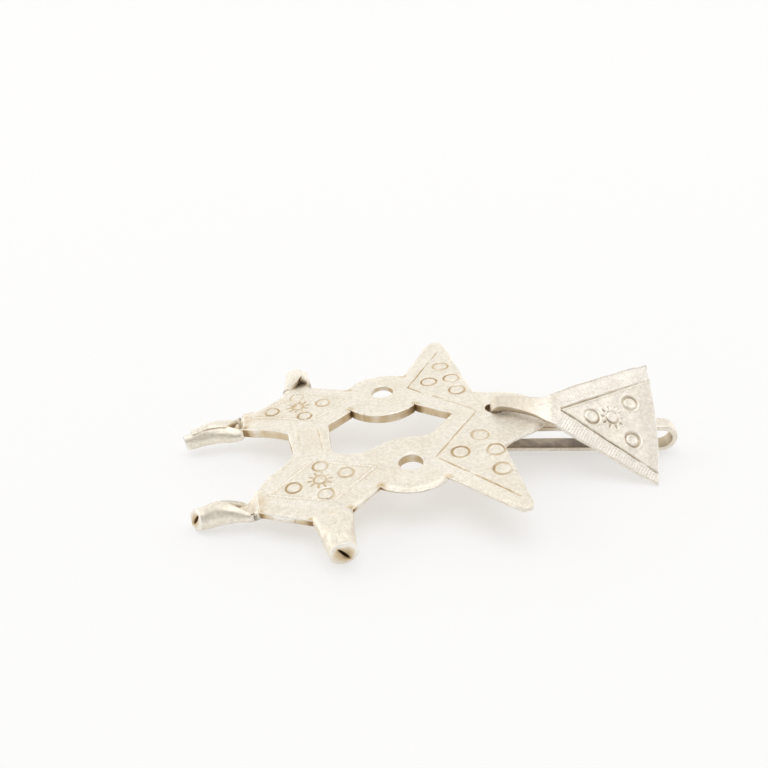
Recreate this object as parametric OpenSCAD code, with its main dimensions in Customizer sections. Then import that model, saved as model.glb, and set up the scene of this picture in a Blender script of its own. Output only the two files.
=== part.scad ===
// Cross earring: an openwork plate of two mirrored halves, hung by its tongue
// in the bent strap of a forged ear hook with a small triangular shield.
// Millimetres. X runs along the jewel toward the hook's bend, Z is up, and the
// jewel lies on the plane z = 0 with the middle of its outline over the origin.

/* [Plate] */
// Thickness of the cross plate
plate_t = 1.2; // [0.9:0.05:1.5]
// Radius of each of the two discs
disc_r = 4.75; // [4.5:0.05:5]
// Distance of a disc's middle from the long axis
disc_y = 7.2; // [7:0.05:7.4]
// Bore through each disc
disc_hole_d = 2.6; // [2:0.1:3.2]
// Side of the strip nearest the discs, along the axis
strip_right_x = -7.65; // [-7.9:0.05:-7.4]
// Side of the strip farthest from the discs
strip_left_x = -11.95; // [-12.2:0.05:-11.7]
// Straight end of the plate on the hook's side
edge_x = 9.9; // [9.7:0.05:10.1]
// Reach of a triangle's outer point from the axis
tip_y = 17.6; // [17:0.1:18.2]
// Apex of the opening between the discs
gap_x = 6.3; // [6:0.1:6.6]
// Radius of the round tongue that hangs in the strap
tongue_r = 5.4; // [5.2:0.1:5.6]
// Bore through the tongue
link_hole_d = 2.7; // [2.5:0.05:2.9]

/* [Rolled ends] */
// Outer diameter of the two lower rolled ends
low_roll_d = 2.25; // [2.1:0.05:2.5]
// Outer diameter of the two side rolled ends
side_roll_d = 2.55; // [2.3:0.05:2.7]
// Reach of the two lower rolled ends along the axis
low_roll_x = -23.3; // [-24.5:0.1:-22.5]
// Reach of the two side rolled ends from the axis
side_roll_y = 17.9; // [17:0.1:18.2]

/* [Hook] */
// Side of the square wire
wire = 1.25; // [1.1:0.05:1.3]
// Distance between the middles of the hook's two legs
leg_gap = 2.8; // [2.6:0.05:3.1]
// Reach of the outer bend from the link
bend_x = 21; // [20.5:0.1:22]
// Length of the back leg past the link
leg_tail = 7; // [4:0.5:9]
// Thickness of the strap where it lies over the tongue
strap_t = 0.85; // [0.8:0.05:0.9]
// Thickness of the triangular shield
shield_t = 0.7; // [0.6:0.05:0.8]
// Half of the shield's width at its base
shield_w = 7.65; // [7.4:0.05:7.8]
// Length of the shield from its apex to its base
shield_l = 11.6; // [11.3:0.1:11.9]

/* [Ornament] */
// Depth of the engraved lines and rings
cut = 0.12; // [0.08:0.01:0.16]
// Width of an engraved line
line_w = 0.25; // [0.2:0.01:0.3]
// Diameter of the stamped rings
ring_d = 1.95; // [1.8:0.05:2.1]

/* [Rest on the surface] */
// Rise of the plate toward the hook
plate_pitch = 6; // [5.5:0.1:6.5]
// Slope of the near half across the axis
near_slope = 5.2; // [5:0.1:5.4]
// Slope of the far half across the axis
far_slope = 1; // [0.8:0.1:1.2]
// Turn of the hook against the plate
hook_turn = -12.5; // [-13:0.1:-12]
// Lean of the hook's legs toward the near side
hook_lean = 12; // [11:0.5:13]

/* [Hidden] */
$fn = 48;
eps = 0.05;

// Middle of the whole outline, from the plate's own origin between the discs,
// and the height of the plate's top there over the surface
outline_mid = [4.37, 0.05];
plate_h = 5.13;
disc_x = -0.1;
// How far each bore sits outward of its disc's middle: far, near
bore_shift = [0.7, 0];

// Tongue: how far it droops from the plate's straight end, its side shift, its bore
tongue_droop = 10;
tongue_y = -0.6;
link_x = 10.95;

// Rolled ends: their roots on the rhomb, the roots' widths, and the droop of
// the two lower ones: far, near
low_root = [-16.85, 8.62];
low_root_w = 3.0;
low_droop = [9.5, 1];
side_root = [-9.45, 13.0];
side_root_w = 4.1;
// Middle of the rhomb's ornament
rhomb = [-10.1, 8.05];

// Hook: where its back leg passes under the link, the leg's height, the outer bend
link_ref = [11.3, 0.75];
leg_h = wire / 2 * (cos(hook_lean) + sin(hook_lean));
loop_r = leg_gap / 2;
loop_x = bend_x - loop_r - wire / 2;
// Strap's slices over the tongue: x, y, z, width, lean
strap_z = 6.08;
strap_run = [[0.85, 0, strap_z, wire, 0],
             [3.1, -0.45, 6.3, 1.9, 6],
             [6.2, -1.6, 6.5, 3.3, 20]];

// Shield: place of its rosette over the plate's origin, its roll, pitch and turn,
// then its own length from apex to base and the apex's width
shield_at = [23.65, -4.2, 5.22];
shield_turn = [32.9, 12.6, -6.5];
shield_apex = -7.2;
shield_base = shield_apex + shield_l;
shield_neck = 3.3;

// Outline of one half of the plate, on the far side of the axis
module half_outline() {
    // rhomb with its roots for the rolled ends
    polygon([[-3.85, 9.95], [-7.35, 12.75], [-11.5, 13.2], [-16.7, 10.1], [-17, 7.15],
             [strip_left_x, 2.85], [strip_right_x, 2.65], [-4.5, 4.6]]);
    // strip that joins the two rhombs
    polygon([[strip_left_x, -eps], [strip_right_x, -eps], [strip_right_x, 3], [strip_left_x, 3]]);
    // disc
    translate([disc_x, disc_y]) circle(r = disc_r);
    // triangle, its outer point blunt
    polygon([[gap_x, -eps], [2.9, 3.6], [2.85, 10.4], [7.3, tip_y - 0.6], [8.3, tip_y + 0.35],
             [9.4, tip_y + 0.3], [edge_x - 0.1, tip_y - 0.7], [edge_x, 4], [edge_x, -eps]]);
}

// A ring, sunk into a face at z = 0
module ring_cut(d) {
    translate([0, 0, -cut]) difference() {
        cylinder(d = d, h = 2 * cut);
        translate([0, 0, -cut]) cylinder(d = d - 2 * line_w, h = 4 * cut);
    }
}

// A straight engraved line from a to b, sunk into a face at z = 0
module line_cut(a, b) {
    d = b - a;
    translate([a[0], a[1], 0]) rotate([0, 0, atan2(d[1], d[0])])
        translate([0, -line_w / 2, -cut]) cube([norm(d), line_w, 2 * cut]);
}

// A rosette: a ring with short strokes around it
module rosette_cut(d, strokes) {
    ring_cut(d);
    for (i = [0 : strokes - 1]) {
        rotate([0, 0, (i + 0.5) * 360 / strokes]) line_cut([d / 2 + 0.15, 0], [d / 2 + 0.6, 0]);
    }
}

// Engraving of one half: rings and border lines on the triangle and the rhomb
module half_cuts() {
    for (p = [[5.5, 7.5], [8.15, 4.9], [8.6, 7.8], [8.3, 11.2]]) {
        translate(p) ring_cut(ring_d);
    }
    line_cut([2.95, 7.15], [9, 0.6]);
    line_cut([2.95, 7.15], [8.9, 15.4]);
    translate(rhomb) {
        rosette_cut(ring_d * 0.9, 10);
        for (p = [[-3.1, 0], [2.9, 0], [0.2, -2.6], [0.1, 2.6]]) {
            translate(p) ring_cut(ring_d * 0.85);
        }
    }
    corners = [for (p = [[5.4, -0.4], [0.9, 4.0], [-5.6, 0.1], [-0.3, -4.1]]) rhomb + p];
    for (i = [0 : 3]) {
        line_cut(corners[i], corners[(i + 1) % 4]);
    }
}

// A rolled end along +X from its root at the origin: the tab widens the plate's
// edge, its sides curl up and in to a tube with a slit, and the root stays open
module rolled_end(length, root_w, roll_d) {
    mid = -plate_t / 2 - 0.1;
    neck = length * 0.45;
    difference() {
        union() {
            hull() {
                translate([-0.4, -root_w / 2, -plate_t]) cube([0.4, root_w, plate_t]);
                translate([neck, 0, mid]) rotate([0, 90, 0]) cylinder(d = roll_d * 0.98, h = 0.1, $fn = 32);
            }
            translate([neck, 0, mid]) rotate([0, 90, 0])
                cylinder(d1 = roll_d * 0.98, d2 = roll_d, h = length - neck);
        }
        // seam along the top and the slit that runs in from the end
        translate([neck, 0.15, mid]) cube([length, 0.3, roll_d]);
        translate([length - 2.4, 0, mid]) rotate([35, 0, 0]) translate([0, -0.75, -0.22]) cube([3, 1.5, 0.44]);
        // open mouth at the root
        translate([neck * 0.25, 0, 0.25]) rotate([0, 14, 0]) rotate([0, 90, 0])
            cylinder(d1 = 0.5, d2 = 1.3, h = neck, $fn = 24);
    }
}

// One solid half, far (side 0) or near (side 1), its disc bored and its rolled ends on
module half(side) {
    difference() {
        union() {
            translate([0, 0, -plate_t]) linear_extrude(height = plate_t) half_outline();
            translate([low_root[0], low_root[1], 0]) rotate([0, 0, 180]) rotate([0, low_droop[side], 0])
                rolled_end(low_root[0] - low_roll_x, low_root_w, low_roll_d);
            translate([side_root[0], side_root[1], 0]) rotate([0, 0, 84])
                rolled_end(side_roll_y - side_root[1], side_root_w, side_roll_d);
        }
        translate([disc_x, disc_y + bore_shift[side], -2 * plate_t]) cylinder(d = disc_hole_d, h = 3 * plate_t);
        half_cuts();
    }
}

// The round tongue, bent slightly down from the plate's straight end
module tongue() {
    translate([edge_x, 0, 0]) rotate([0, tongue_droop, 0]) difference() {
        translate([0.7, tongue_y, -plate_t]) cylinder(r = tongue_r, h = plate_t);
        translate([-2 * tongue_r - 0.3, -2 * tongue_r, -2 * plate_t])
            cube([2 * tongue_r, 4 * tongue_r, 3 * plate_t]);
    }
}

module cross_pendant() {
    color("gainsboro") translate([-outline_mid[0], -outline_mid[1], plate_h]) rotate([0, -plate_pitch, 0])
    difference() {
        union() {
            rotate([far_slope, 0, 0]) half(0);
            rotate([near_slope, 0, 0]) mirror([0, 1, 0]) half(1);
            rotate([(near_slope + far_slope) / 2, 0, 0]) tongue();
        }
        translate([link_x, 0, -3 * plate_t]) cylinder(d = link_hole_d, h = 5 * plate_t);
    }
}

// A straight run of the square wire along X at height z, from x0 to x1
module wire_run(x0, x1, z) {
    translate([x0, -wire / 2, z - wire / 2]) cube([x1 - x0, wire, wire]);
}

// A bend of a rectangular bar about the Y axis: radius of its middle line,
// width across, thickness, first angle from +X toward +Z and swept angle
module bar_bend(r, w, t, first, sweep) {
    rotate([90, 0, 0]) rotate([0, 0, first])
        rotate_extrude(angle = sweep) translate([r - t / 2, -w / 2]) square([t, w]);
}

// The wire: back leg, outer bend, front leg and the riser through the tongue
module hook_wire() {
    riser_r = 0.95;
    top_r = 0.85;
    wire_run(-leg_tail, loop_x, 0);
    translate([loop_x, 0, loop_r]) bar_bend(loop_r, wire, wire, -90, 180);
    wire_run(riser_r, loop_x, leg_gap);
    translate([riser_r, 0, leg_gap + riser_r]) bar_bend(riser_r, wire, wire, 180, 90);
    translate([-wire / 2, -wire / 2, leg_gap + riser_r]) cube([wire, wire, strap_z - top_r - leg_gap - riser_r]);
    translate([top_r, 0, strap_z - top_r]) bar_bend(top_r, wire, strap_t, 90, 90);
}

// One thin slice of the strap, widened and leaned on its way to the shield
module strap_slice(row) {
    translate([row[0], row[1], row[2]]) rotate([row[4], 0, 0])
        translate([-0.05, -row[3] / 2, -strap_t / 2]) cube([0.1, row[3], strap_t]);
}

module shield() {
    translate(shield_at) rotate([0, 0, shield_turn[2]]) rotate([0, shield_turn[1], 0]) rotate([shield_turn[0], 0, 0])
    difference() {
        translate([0, 0, -shield_t / 2]) linear_extrude(height = shield_t)
            polygon([[shield_apex, -shield_neck / 2], [shield_base - 0.5, -shield_w], [shield_base - 0.05, -shield_w + 0.15],
                     [shield_base + 0.3, 0], [shield_base - 0.05, shield_w - 0.15], [shield_base - 0.5, shield_w],
                     [shield_apex, shield_neck / 2]]);
        translate([0, 0, shield_t / 2]) {
            rosette_cut(ring_d * 0.85, 10);
            for (p = [[-2.6, 0], [2.3, 2.35], [2.3, -2.35]]) {
                translate(p) ring_cut(ring_d * 0.95);
            }
            line_cut([-6, 0.1], [4.2, 5.6]);
            line_cut([-6, -0.1], [4.2, -5.6]);
        }
    }
}

module ear_hook() {
    color("silver") translate([-outline_mid[0], -outline_mid[1], 0]) {
        translate([link_ref[0], link_ref[1], leg_h]) rotate([0, 0, hook_turn]) rotate([hook_lean, 0, 0]) {
            hook_wire();
            for (i = [0 : 1]) {
                hull() {
                    strap_slice(strap_run[i]);
                    strap_slice(strap_run[i + 1]);
                }
            }
        }
        shield();
    }
}

cross_pendant();
ear_hook();
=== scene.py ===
"""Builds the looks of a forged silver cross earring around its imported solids: the openwork
plate with its engraving, four rolled ends, the ear wire and the strap with its shield, the
silver on them, and a white studio. Lengths in the shape functions are millimetres."""

import math

import bpy
import numpy as np
from mathutils import Matrix, Vector


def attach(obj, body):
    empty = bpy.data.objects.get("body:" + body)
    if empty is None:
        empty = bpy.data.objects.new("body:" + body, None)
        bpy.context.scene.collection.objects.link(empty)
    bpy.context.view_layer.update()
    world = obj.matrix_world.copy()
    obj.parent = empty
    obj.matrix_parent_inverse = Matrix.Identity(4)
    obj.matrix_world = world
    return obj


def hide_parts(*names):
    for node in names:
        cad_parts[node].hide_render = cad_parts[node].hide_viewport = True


bl_info = {
    "name": "Cross Earring",
    "version": (1, 0, 0),
    "blender": (4, 5, 0),
    "location": "View3D > Sidebar > Earring",
    "description": "Builds the plate, rolled ends, ear wire, shield and studio of a cross earring",
    "category": "Object",
}

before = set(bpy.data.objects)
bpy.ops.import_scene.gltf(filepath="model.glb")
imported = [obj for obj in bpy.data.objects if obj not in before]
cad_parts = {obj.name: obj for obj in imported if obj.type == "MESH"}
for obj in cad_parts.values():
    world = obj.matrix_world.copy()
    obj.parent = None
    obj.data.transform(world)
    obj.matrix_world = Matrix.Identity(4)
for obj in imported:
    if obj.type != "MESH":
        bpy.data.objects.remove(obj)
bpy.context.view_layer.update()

MM = 0.001

# A distance that stands for no groove or bead anywhere near
NO_GROOVE = 9.0

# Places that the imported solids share: middle of the outline in the plate's own frame, height
# of the plate's top there, and the slopes and turns at which the pieces lie, in degrees
OUTLINE_MID = np.array([4.37, 0.05])
PLATE_HEIGHT = 5.13
PLATE_PITCH = 6.0
SLOPE_NEAR = 5.2
SLOPE_FAR = 1.0
TONGUE_DROOP = 10.0
LINK_PLACE = (11.3, 0.75)
HOOK_TURN = -12.5
HOOK_LEAN = 12.0
SHIELD_PLACE = (23.65, -4.2, 5.22)
SHIELD_TURN = (32.9, 12.6, -6.5)
SHIELD_NECK = -7.2

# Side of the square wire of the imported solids, on which the hook lies
WIRE_SIDE = 1.25

# Plan of the plate: middles of the discs and of the bores, the straight side on the hook's
# side, and two corners of a field that holds the whole plan
DISC_FAR = (-0.1, 7.2)
DISC_NEAR = (-0.1, -7.2)
BORE_FAR = (-0.1, 7.9)
BORE_NEAR = (-0.1, -7.15)
LINK_BORE = (11.12, -0.43)
EDGE_X = 9.9
PLAN_LOW = (-17.6, -18.6)
PLAN_HIGH = (17.9, 18.5)


def length_property(label, text, millimetres):
    """A length that a user may change, kept in metres."""
    return bpy.props.FloatProperty(
        name=label, description=text, default=millimetres * MM, min=0.0, unit="LENGTH", precision=5
    )


def angle_property(label, text, degrees):
    """An angle that a user may change, kept in radians."""
    return bpy.props.FloatProperty(
        name=label, description=text, default=math.radians(degrees), subtype="ANGLE"
    )


def share_property(label, text, value):
    """A number from 0 to 1 that a user may change."""
    return bpy.props.FloatProperty(
        name=label, description=text, default=value, min=0.0, max=1.0, subtype="FACTOR"
    )


def colour_property(label, text, colour):
    """A colour that a user may change."""
    return bpy.props.FloatVectorProperty(
        name=label, description=text, default=colour, size=3, subtype="COLOR", min=0.0, max=1.0
    )


class PlateSettings(bpy.types.PropertyGroup):
    """Sizes of the cross plate."""

    step: length_property("Mesh step", "Side of one cell of the plate's surface", 0.1)
    thickness: length_property("Thickness", "Sheet along the inner opening", 1.12)
    thin: length_property("Outer thickness", "Sheet at the hammered outer edges", 0.44)
    edge: length_property("Edge rounding", "Radius of the filed edges", 0.13)
    disc_radius: length_property("Disc radius", "Radius of the two discs", 4.75)
    bore_radius: length_property("Bore radius", "Radius of the bore through each disc", 1.3)
    link_radius: length_property("Link bore radius", "Radius of the bore in the tongue", 1.02)
    wobble: length_property("Hand wobble", "How far the cut outline strays", 0.05)
    dents: length_property("Hammer dents", "Depth of the planishing marks", 0.03)


class EngravingSettings(bpy.types.PropertyGroup):
    """Sizes of the punched and engraved ornament."""

    depth: length_property("Depth", "Depth of lines and rings", 0.1)
    width: length_property("Line width", "Width of an engraved line", 0.21)
    ring: length_property("Ring radius", "Radius of the large punched rings", 0.92)
    small_ring: length_property("Small ring radius", "Radius of the rings on the rhombs", 0.8)
    band: length_property("Band width", "Width of the hatched borders", 1.45)
    pitch: length_property("Hatch pitch", "Distance between two hatch strokes", 0.32)


class RolledEndSettings(bpy.types.PropertyGroup):
    """Sizes of the four rolled ends."""

    low_radius: length_property("Low end radius", "Outer radius of the two lower rolls", 1.12)
    far_radius: length_property("Far end radius", "Outer radius of the far side roll", 1.35)
    near_radius: length_property("Near end radius", "Outer radius of the near side roll", 1.43)
    sheet: length_property("Sheet", "Thickness of the rolled sheet at its open end", 0.62)


class HookSettings(bpy.types.PropertyGroup):
    """Sizes of the ear wire, the strap and the shield."""

    wire: length_property("Wire width", "Width of the flat wire", 1.72)
    wire_thick: length_property("Wire thickness", "Thickness of the flat wire", 0.64)
    leg_gap: length_property("Leg gap", "Distance between the middles of the two legs", 3.06)
    bend: length_property("Bend reach", "Outer bend's reach from the link", 21.0)
    tail: length_property("Tail", "Back leg's reach past the link", 7.0)
    strap: length_property("Strap thickness", "Strap over the tongue", 0.8)
    shield: length_property("Shield thickness", "Sheet of the triangular shield", 0.36)
    shield_long: length_property("Shield length", "From the shield's neck to its base", 11.9)


class SilverSettings(bpy.types.PropertyGroup):
    """Colours and polish of the metal."""

    plate: colour_property("Plate silver", "Warm silver of the plate", (0.94, 0.886, 0.782))
    hook: colour_property("Hook silver", "Whiter silver of the hook", (0.985, 0.935, 0.848))
    # The film colours below also give the painted shade its colour: on the strap, the ear wire, the link
    # bore and inside the rolls
    light_tarnish_and_shade: colour_property("Light tarnish", "Ochre film in grooves and on edges", (0.7, 0.57, 0.38))
    tarnish: colour_property("Tarnish", "Brown film in grooves and corners", (0.36, 0.24, 0.12))
    dull_film_and_shade: colour_property("Dull film", "Thin film on the hook", (0.62, 0.53, 0.4))
    grey_tarnish_and_shade: colour_property("Grey tarnish", "Film on the wire's inner faces", (0.285, 0.24, 0.205))
    roughness: share_property("Roughness", "Softness of the satin", 0.42)


class StageSettings(bpy.types.PropertyGroup):
    """Camera, floor and light."""

    eye: bpy.props.FloatVectorProperty(
        name="Eye", description="Place of the camera", default=(-0.0226, -0.08823, 0.05506), unit="LENGTH"
    )
    turn: angle_property("Turn", "Camera's turn toward the hook", 10.83)
    pitch: angle_property("Pitch", "Camera's angle below the horizon", 26.54)
    roll: angle_property("Roll", "Camera's small tilt", 1.07)
    lens: bpy.props.FloatProperty(
        name="Lens", description="Focal length on a 36 mm sensor", default=43.47, subtype="DISTANCE_CAMERA"
    )
    floor: colour_property("Floor", "Milky sheet under the jewel", (0.48, 0.48, 0.48))
    glow: share_property("Glow", "Light that the milky sheet sends up itself", 0.495)
    key: bpy.props.FloatProperty(
        name="Key light", description="Power of the overhead softbox", default=16.5, min=0.0, unit="POWER"
    )
    room_dim: share_property("Room behind", "Brightness of the room behind the camera", 0.4)


def mm(value):
    """A length property in millimetres."""
    return value / MM


def smooth(t):
    """0 below 0, 1 above 1, and an S-shaped rise between."""
    t = np.clip(t, 0.0, 1.0)
    return t * t * (3.0 - 2.0 * t)


def mix(a, b, t):
    """a where t is 0, b where t is 1, and in proportion between."""
    return a + (b - a) * t


def waves(x, y, z, size, seed):
    """Smooth unevenness that repeats on each run: the sum of sine waves of about one size,
    each in its own direction with its own start, over the root of their number."""
    count = 14
    source = np.random.default_rng(seed)
    total = np.zeros(np.broadcast(x, y, z).shape)
    for _ in range(count):
        way = source.normal(size=3)
        way *= 2.0 * math.pi / size * source.uniform(0.7, 1.4) / np.linalg.norm(way)
        total += np.sin(x * way[0] + y * way[1] + z * way[2] + source.uniform(0.0, 2.0 * math.pi))
    return total / math.sqrt(count)


def slopes(surface, x, y):
    """Slopes of a function of the plan along X and along Y, by central differences."""
    e = 0.02
    along_x = (surface(x + e, y) - surface(x - e, y)) / (2.0 * e)
    along_y = (surface(x, y + e) - surface(x, y - e)) / (2.0 * e)
    return along_x, along_y


def turned(x, z, degrees):
    """Two coordinates turned by an angle in their own plane, the first toward the second."""
    c, s = math.cos(math.radians(degrees)), math.sin(math.radians(degrees))
    return x * c - z * s, x * s + z * c


def arc(centre, radius, first, last):
    """Points on a circle from the first angle to the last, in degrees, about 5 degrees apart."""
    count = int(abs(last - first) / 5.0)
    a = np.radians(np.linspace(first, last, count))
    return np.stack([centre[0] + radius * np.cos(a), centre[1] + radius * np.sin(a)], 1)


def tongue_edge():
    """Edge of the tongue: an oval whose reach is a power of the cosine of the angle across it,
    blunt on its far side and drawn out on its near side."""
    a = np.radians(np.linspace(-88.0, 88.0, 40))
    power = np.where(a > 0.0, 0.5, 2.4)
    reach = 10.0 + 7.0 * np.cos(a) ** power
    return np.stack([reach, -1.9 + 5.5 * np.sin(a)], 1)


def outer_outline(disc_radius):
    """The plate's outer contour with its tongue, turning left all the way round."""
    near_tip = [(9.95, -12.7), (9.86, -17.1), (9.45, -17.9), (8.5, -17.95), (7.5, -16.9), (3.05, -10.75)]
    near_rhomb = [(-7.3, -12.6), (-11.5, -13.1), (-16.5, -10.1), (-16.35, -6.95), (-15.7, -5.6),
                  (-14.6, -4.3), (-12.4, -2.25), (-11.9, -1.3)]
    far_rhomb = [(-11.95, 2.85), (-14.4, 4.6), (-17.0, 6.35), (-16.5, 9.1), (-14.3, 9.75), (-12.0, 11.45),
                 (-11.35, 12.6), (-7.9, 12.4)]
    far_tip = [(3.07, 10.73), (7.3, 17.0), (8.3, 17.93), (9.4, 17.88), (9.8, 16.9), (EDGE_X, 4.0)]
    return np.concatenate([
        tongue_edge(),
        far_tip[::-1],
        arc(DISC_FAR, disc_radius, 48.0, 143.6),
        far_rhomb[::-1],
        near_rhomb[::-1],
        arc(DISC_NEAR, disc_radius, 216.4, 312.0),
        near_tip[::-1],
    ])


def inner_outline(disc_radius):
    """The opening between strip, rhombs, discs and triangles. Its far side has sharp corners
    where the shapes meet, its near side is filed smooth."""
    far_left = [(-7.6, 0.0), (-7.4, 2.85), (-4.35, 4.9), (-4.42, 5.4)]
    far_right = [(2.9, 3.75), (3.2, 3.3), (6.35, 0.0)]
    near_right = [(4.0, -2.25), (3.2, -2.8), (2.3, -3.0)]
    near_left = [(-3.6, -3.45), (-4.7, -3.72), (-5.7, -3.7), (-6.6, -3.4), (-7.35, -2.8), (-7.7, -2.1)]
    return np.concatenate([
        far_left,
        arc(DISC_FAR, disc_radius, 204.7, 308.0),
        far_right,
        near_right,
        arc(DISC_NEAR, disc_radius, 71.0, 118.0),
        near_left,
    ])


def outline_distance(points, x, y):
    """Distance from each place to a closed outline, negative inside it. It is the least
    distance to any side, and a ray to the right from inside crosses an odd number of sides."""
    nearest = np.full(np.shape(x), np.inf)
    inside = np.zeros(np.shape(x), bool)
    for (ax, ay), (bx, by) in zip(points, np.roll(points, -1, 0)):
        dx, dy = bx - ax, by - ay
        t = np.clip(((x - ax) * dx + (y - ay) * dy) / (dx * dx + dy * dy), 0.0, 1.0)
        nearest = np.minimum(nearest, (x - ax - t * dx) ** 2 + (y - ay - t * dy) ** 2)
        if dy != 0.0:
            crosses = (ay > y) != (by > y)
            inside ^= crosses & (x < ax + (y - ay) * dx / dy)
    return np.where(inside, -1.0, 1.0) * np.sqrt(nearest)


def plate_depth(plate):
    """A function that gives how far inside the metal each place of the plan lies: the least
    distance to the outer contour, the opening and the three bores, on a slightly warped plan."""
    outer = outer_outline(mm(plate.disc_radius))
    inner = inner_outline(mm(plate.disc_radius))
    bore = mm(plate.bore_radius)
    bores = [(BORE_FAR, bore), (BORE_NEAR, bore), (LINK_BORE, mm(plate.link_radius))]
    wobble = mm(plate.wobble)

    def depth(x, y):
        wx = x + wobble * waves(x, y, 0.0, 5.0, 3)
        wy = y + wobble * waves(x, y, 0.0, 5.0, 4)
        found = np.minimum(-outline_distance(outer, wx, wy), outline_distance(inner, wx, wy))
        for (cx, cy), radius in bores:
            found = np.minimum(found, np.hypot(x - cx, y - cy) - radius)
        return found

    return depth


def segment_gap(x, y, a, b):
    """Distance to a straight stroke from a to b, the run along it from a, and the offset to
    its left."""
    d = np.subtract(b, a)
    size = math.hypot(*d)
    along = ((x - a[0]) * d[0] + (y - a[1]) * d[1]) / size
    left = ((y - a[1]) * d[0] - (x - a[0]) * d[1]) / size
    past = np.maximum(np.maximum(-along, along - size), 0.0)
    return np.hypot(left, past), along, left


def worn_lines(x, y):
    """A little that is added to a groove's distance where the tool pressed less."""
    return 0.06 * np.clip(waves(x, y, 0.0, 2.6, 17) - 0.1, 0.0, 1.0)


def ring_gap(x, y, centre, radius):
    """Distance to a punched ring, 0 over the width that the punch flattened."""
    return np.maximum(np.abs(np.hypot(x - centre[0], y - centre[1]) - radius) - 0.05, 0.0)


def rosette_gap(x, y, centre, radius):
    """Distance to a ring with ten short strokes round it: the angle is folded into one stroke's
    share, and the nearer of the ring and that stroke counts."""
    rx, ry = x - centre[0], y - centre[1]
    r = np.hypot(rx, ry)
    share = 2.0 * math.pi / 10.0
    a = (np.arctan2(ry, rx) + share / 2.0) % share - share / 2.0
    stroke = np.hypot(np.maximum(np.abs(r - radius * 1.62) - radius * 0.22, 0.0), r * a)
    return np.minimum(np.abs(r - radius), stroke)


# Ornament of each half, far then near: rings and border corner of the triangle, then the
# rhomb's border corners, its rings and the middle of its rosette
FAR_ORNAMENT = {
    "rings": [(7.9, 11.25), (5.65, 8.0), (8.38, 7.9), (8.26, 4.85)],
    "borders": [((8.75, 15.4), (2.95, 7.6)), ((2.95, 7.6), (9.0, -0.3))],
    "rhomb": [(-15.7, 8.25), (-9.0, 4.5), (-4.1, 7.8), (-9.3, 11.5)],
    "rhomb_rings": [(-13.2, 8.35), (-7.2, 8.1), (-10.0, 10.55), (-9.65, 5.9)],
    "rosette": (-10.15, 8.3),
}
NEAR_ORNAMENT = {
    "rings": [(8.12, -5.0), (5.3, -7.2), (8.95, -8.05), (8.6, -11.3)],
    "borders": [((2.65, -7.15), (8.9, -15.9)), ((9.1, -0.5), (2.65, -7.15))],
    "rhomb": [(-15.1, -7.8), (-8.9, -10.7), (-3.8, -6.75), (-10.05, -3.5)],
    "rhomb_rings": [(-12.55, -7.35), (-6.9, -6.6), (-9.35, -4.7), (-9.45, -9.35)],
    "rosette": (-9.7, -6.95),
}
BEAD_PITCH = 0.46
STRIP_LINES = [((-10.85, 2.6), (-11.0, -1.6)), ((-8.6, -1.8), (-8.6, 2.5))]


def plate_ornament(x, y, engraving):
    """Distances and shares that draw the ornament: gap to the nearest plain groove, gap to the
    nearest beaded line, run along the nearest border, and share of hatching."""
    groove, beads, closest = (np.full(np.shape(x), NO_GROOVE) for _ in range(3))
    hatch, run = np.zeros(np.shape(x)), np.zeros(np.shape(x))
    band, ring, small_ring = mm(engraving.band), mm(engraving.ring), mm(engraving.small_ring)
    borders = []
    for half in (FAR_ORNAMENT, NEAR_ORNAMENT):
        for key, radius in (("rings", ring), ("rhomb_rings", small_ring)):
            for centre in half[key]:
                groove = np.minimum(groove, ring_gap(x, y, centre, radius))
        flower = rosette_gap(x, y, half["rosette"], small_ring * 0.85)
        groove = np.minimum(groove, np.maximum(flower - 0.04, 0.0))
        corners = half["rhomb"]
        borders += [(a, b, True) for a, b in zip(corners, corners[1:] + corners[:1])]
        borders += [(a, b, False) for a, b in half["borders"]]
    for a, b, beaded in borders:
        gap, along, left = segment_gap(x, y, a, b)
        # the metal outside a border lies to its right
        window = smooth(-left / 0.1 - 0.6) * smooth((band + left) / 0.15 + 0.5)
        nearer = gap < closest
        run = np.where(nearer, along, run)
        hatch = np.where(nearer, window * (1.0 if beaded else 0.75), hatch)
        closest = np.minimum(closest, gap)
        if beaded:
            beads = np.minimum(beads, gap)
        else:
            groove = np.minimum(groove, gap)
    for a, b in STRIP_LINES:
        groove = np.minimum(groove, segment_gap(x, y, a, b)[0] + 0.05)
    strip = smooth((2.5 - np.abs(y)) / 0.3) * smooth((x + 10.75) / 0.2) * smooth((-8.75 - x) / 0.2)
    run = np.where(strip > 0.0, y, run)
    hatch = np.maximum(hatch, 0.8 * strip)
    return {"groove": groove + worn_lines(x, y), "beads": beads, "run": run, "hatch": hatch}


def cut_lines(ornament, engraving, groove, thrown_up, hatching):
    """Height of the ornament over the metal, each part by its share of the engraving's depth:
    grooves that fall off as a bell curve from their middle, the low banks that they threw up on
    both sides, and hatching as a cosine."""
    deep, width = mm(engraving.depth), mm(engraving.width) / 2.0
    gap = ornament["groove"]
    strokes = 1.0 - np.cos(2.0 * math.pi * ornament["run"] / mm(engraving.pitch))
    h = -groove * deep * np.exp(-((gap / width) ** 2))
    h += thrown_up * deep * np.exp(-(((gap - 2.2 * width) / width) ** 2))
    return h - hatching * deep * ornament["hatch"] * strokes


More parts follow.
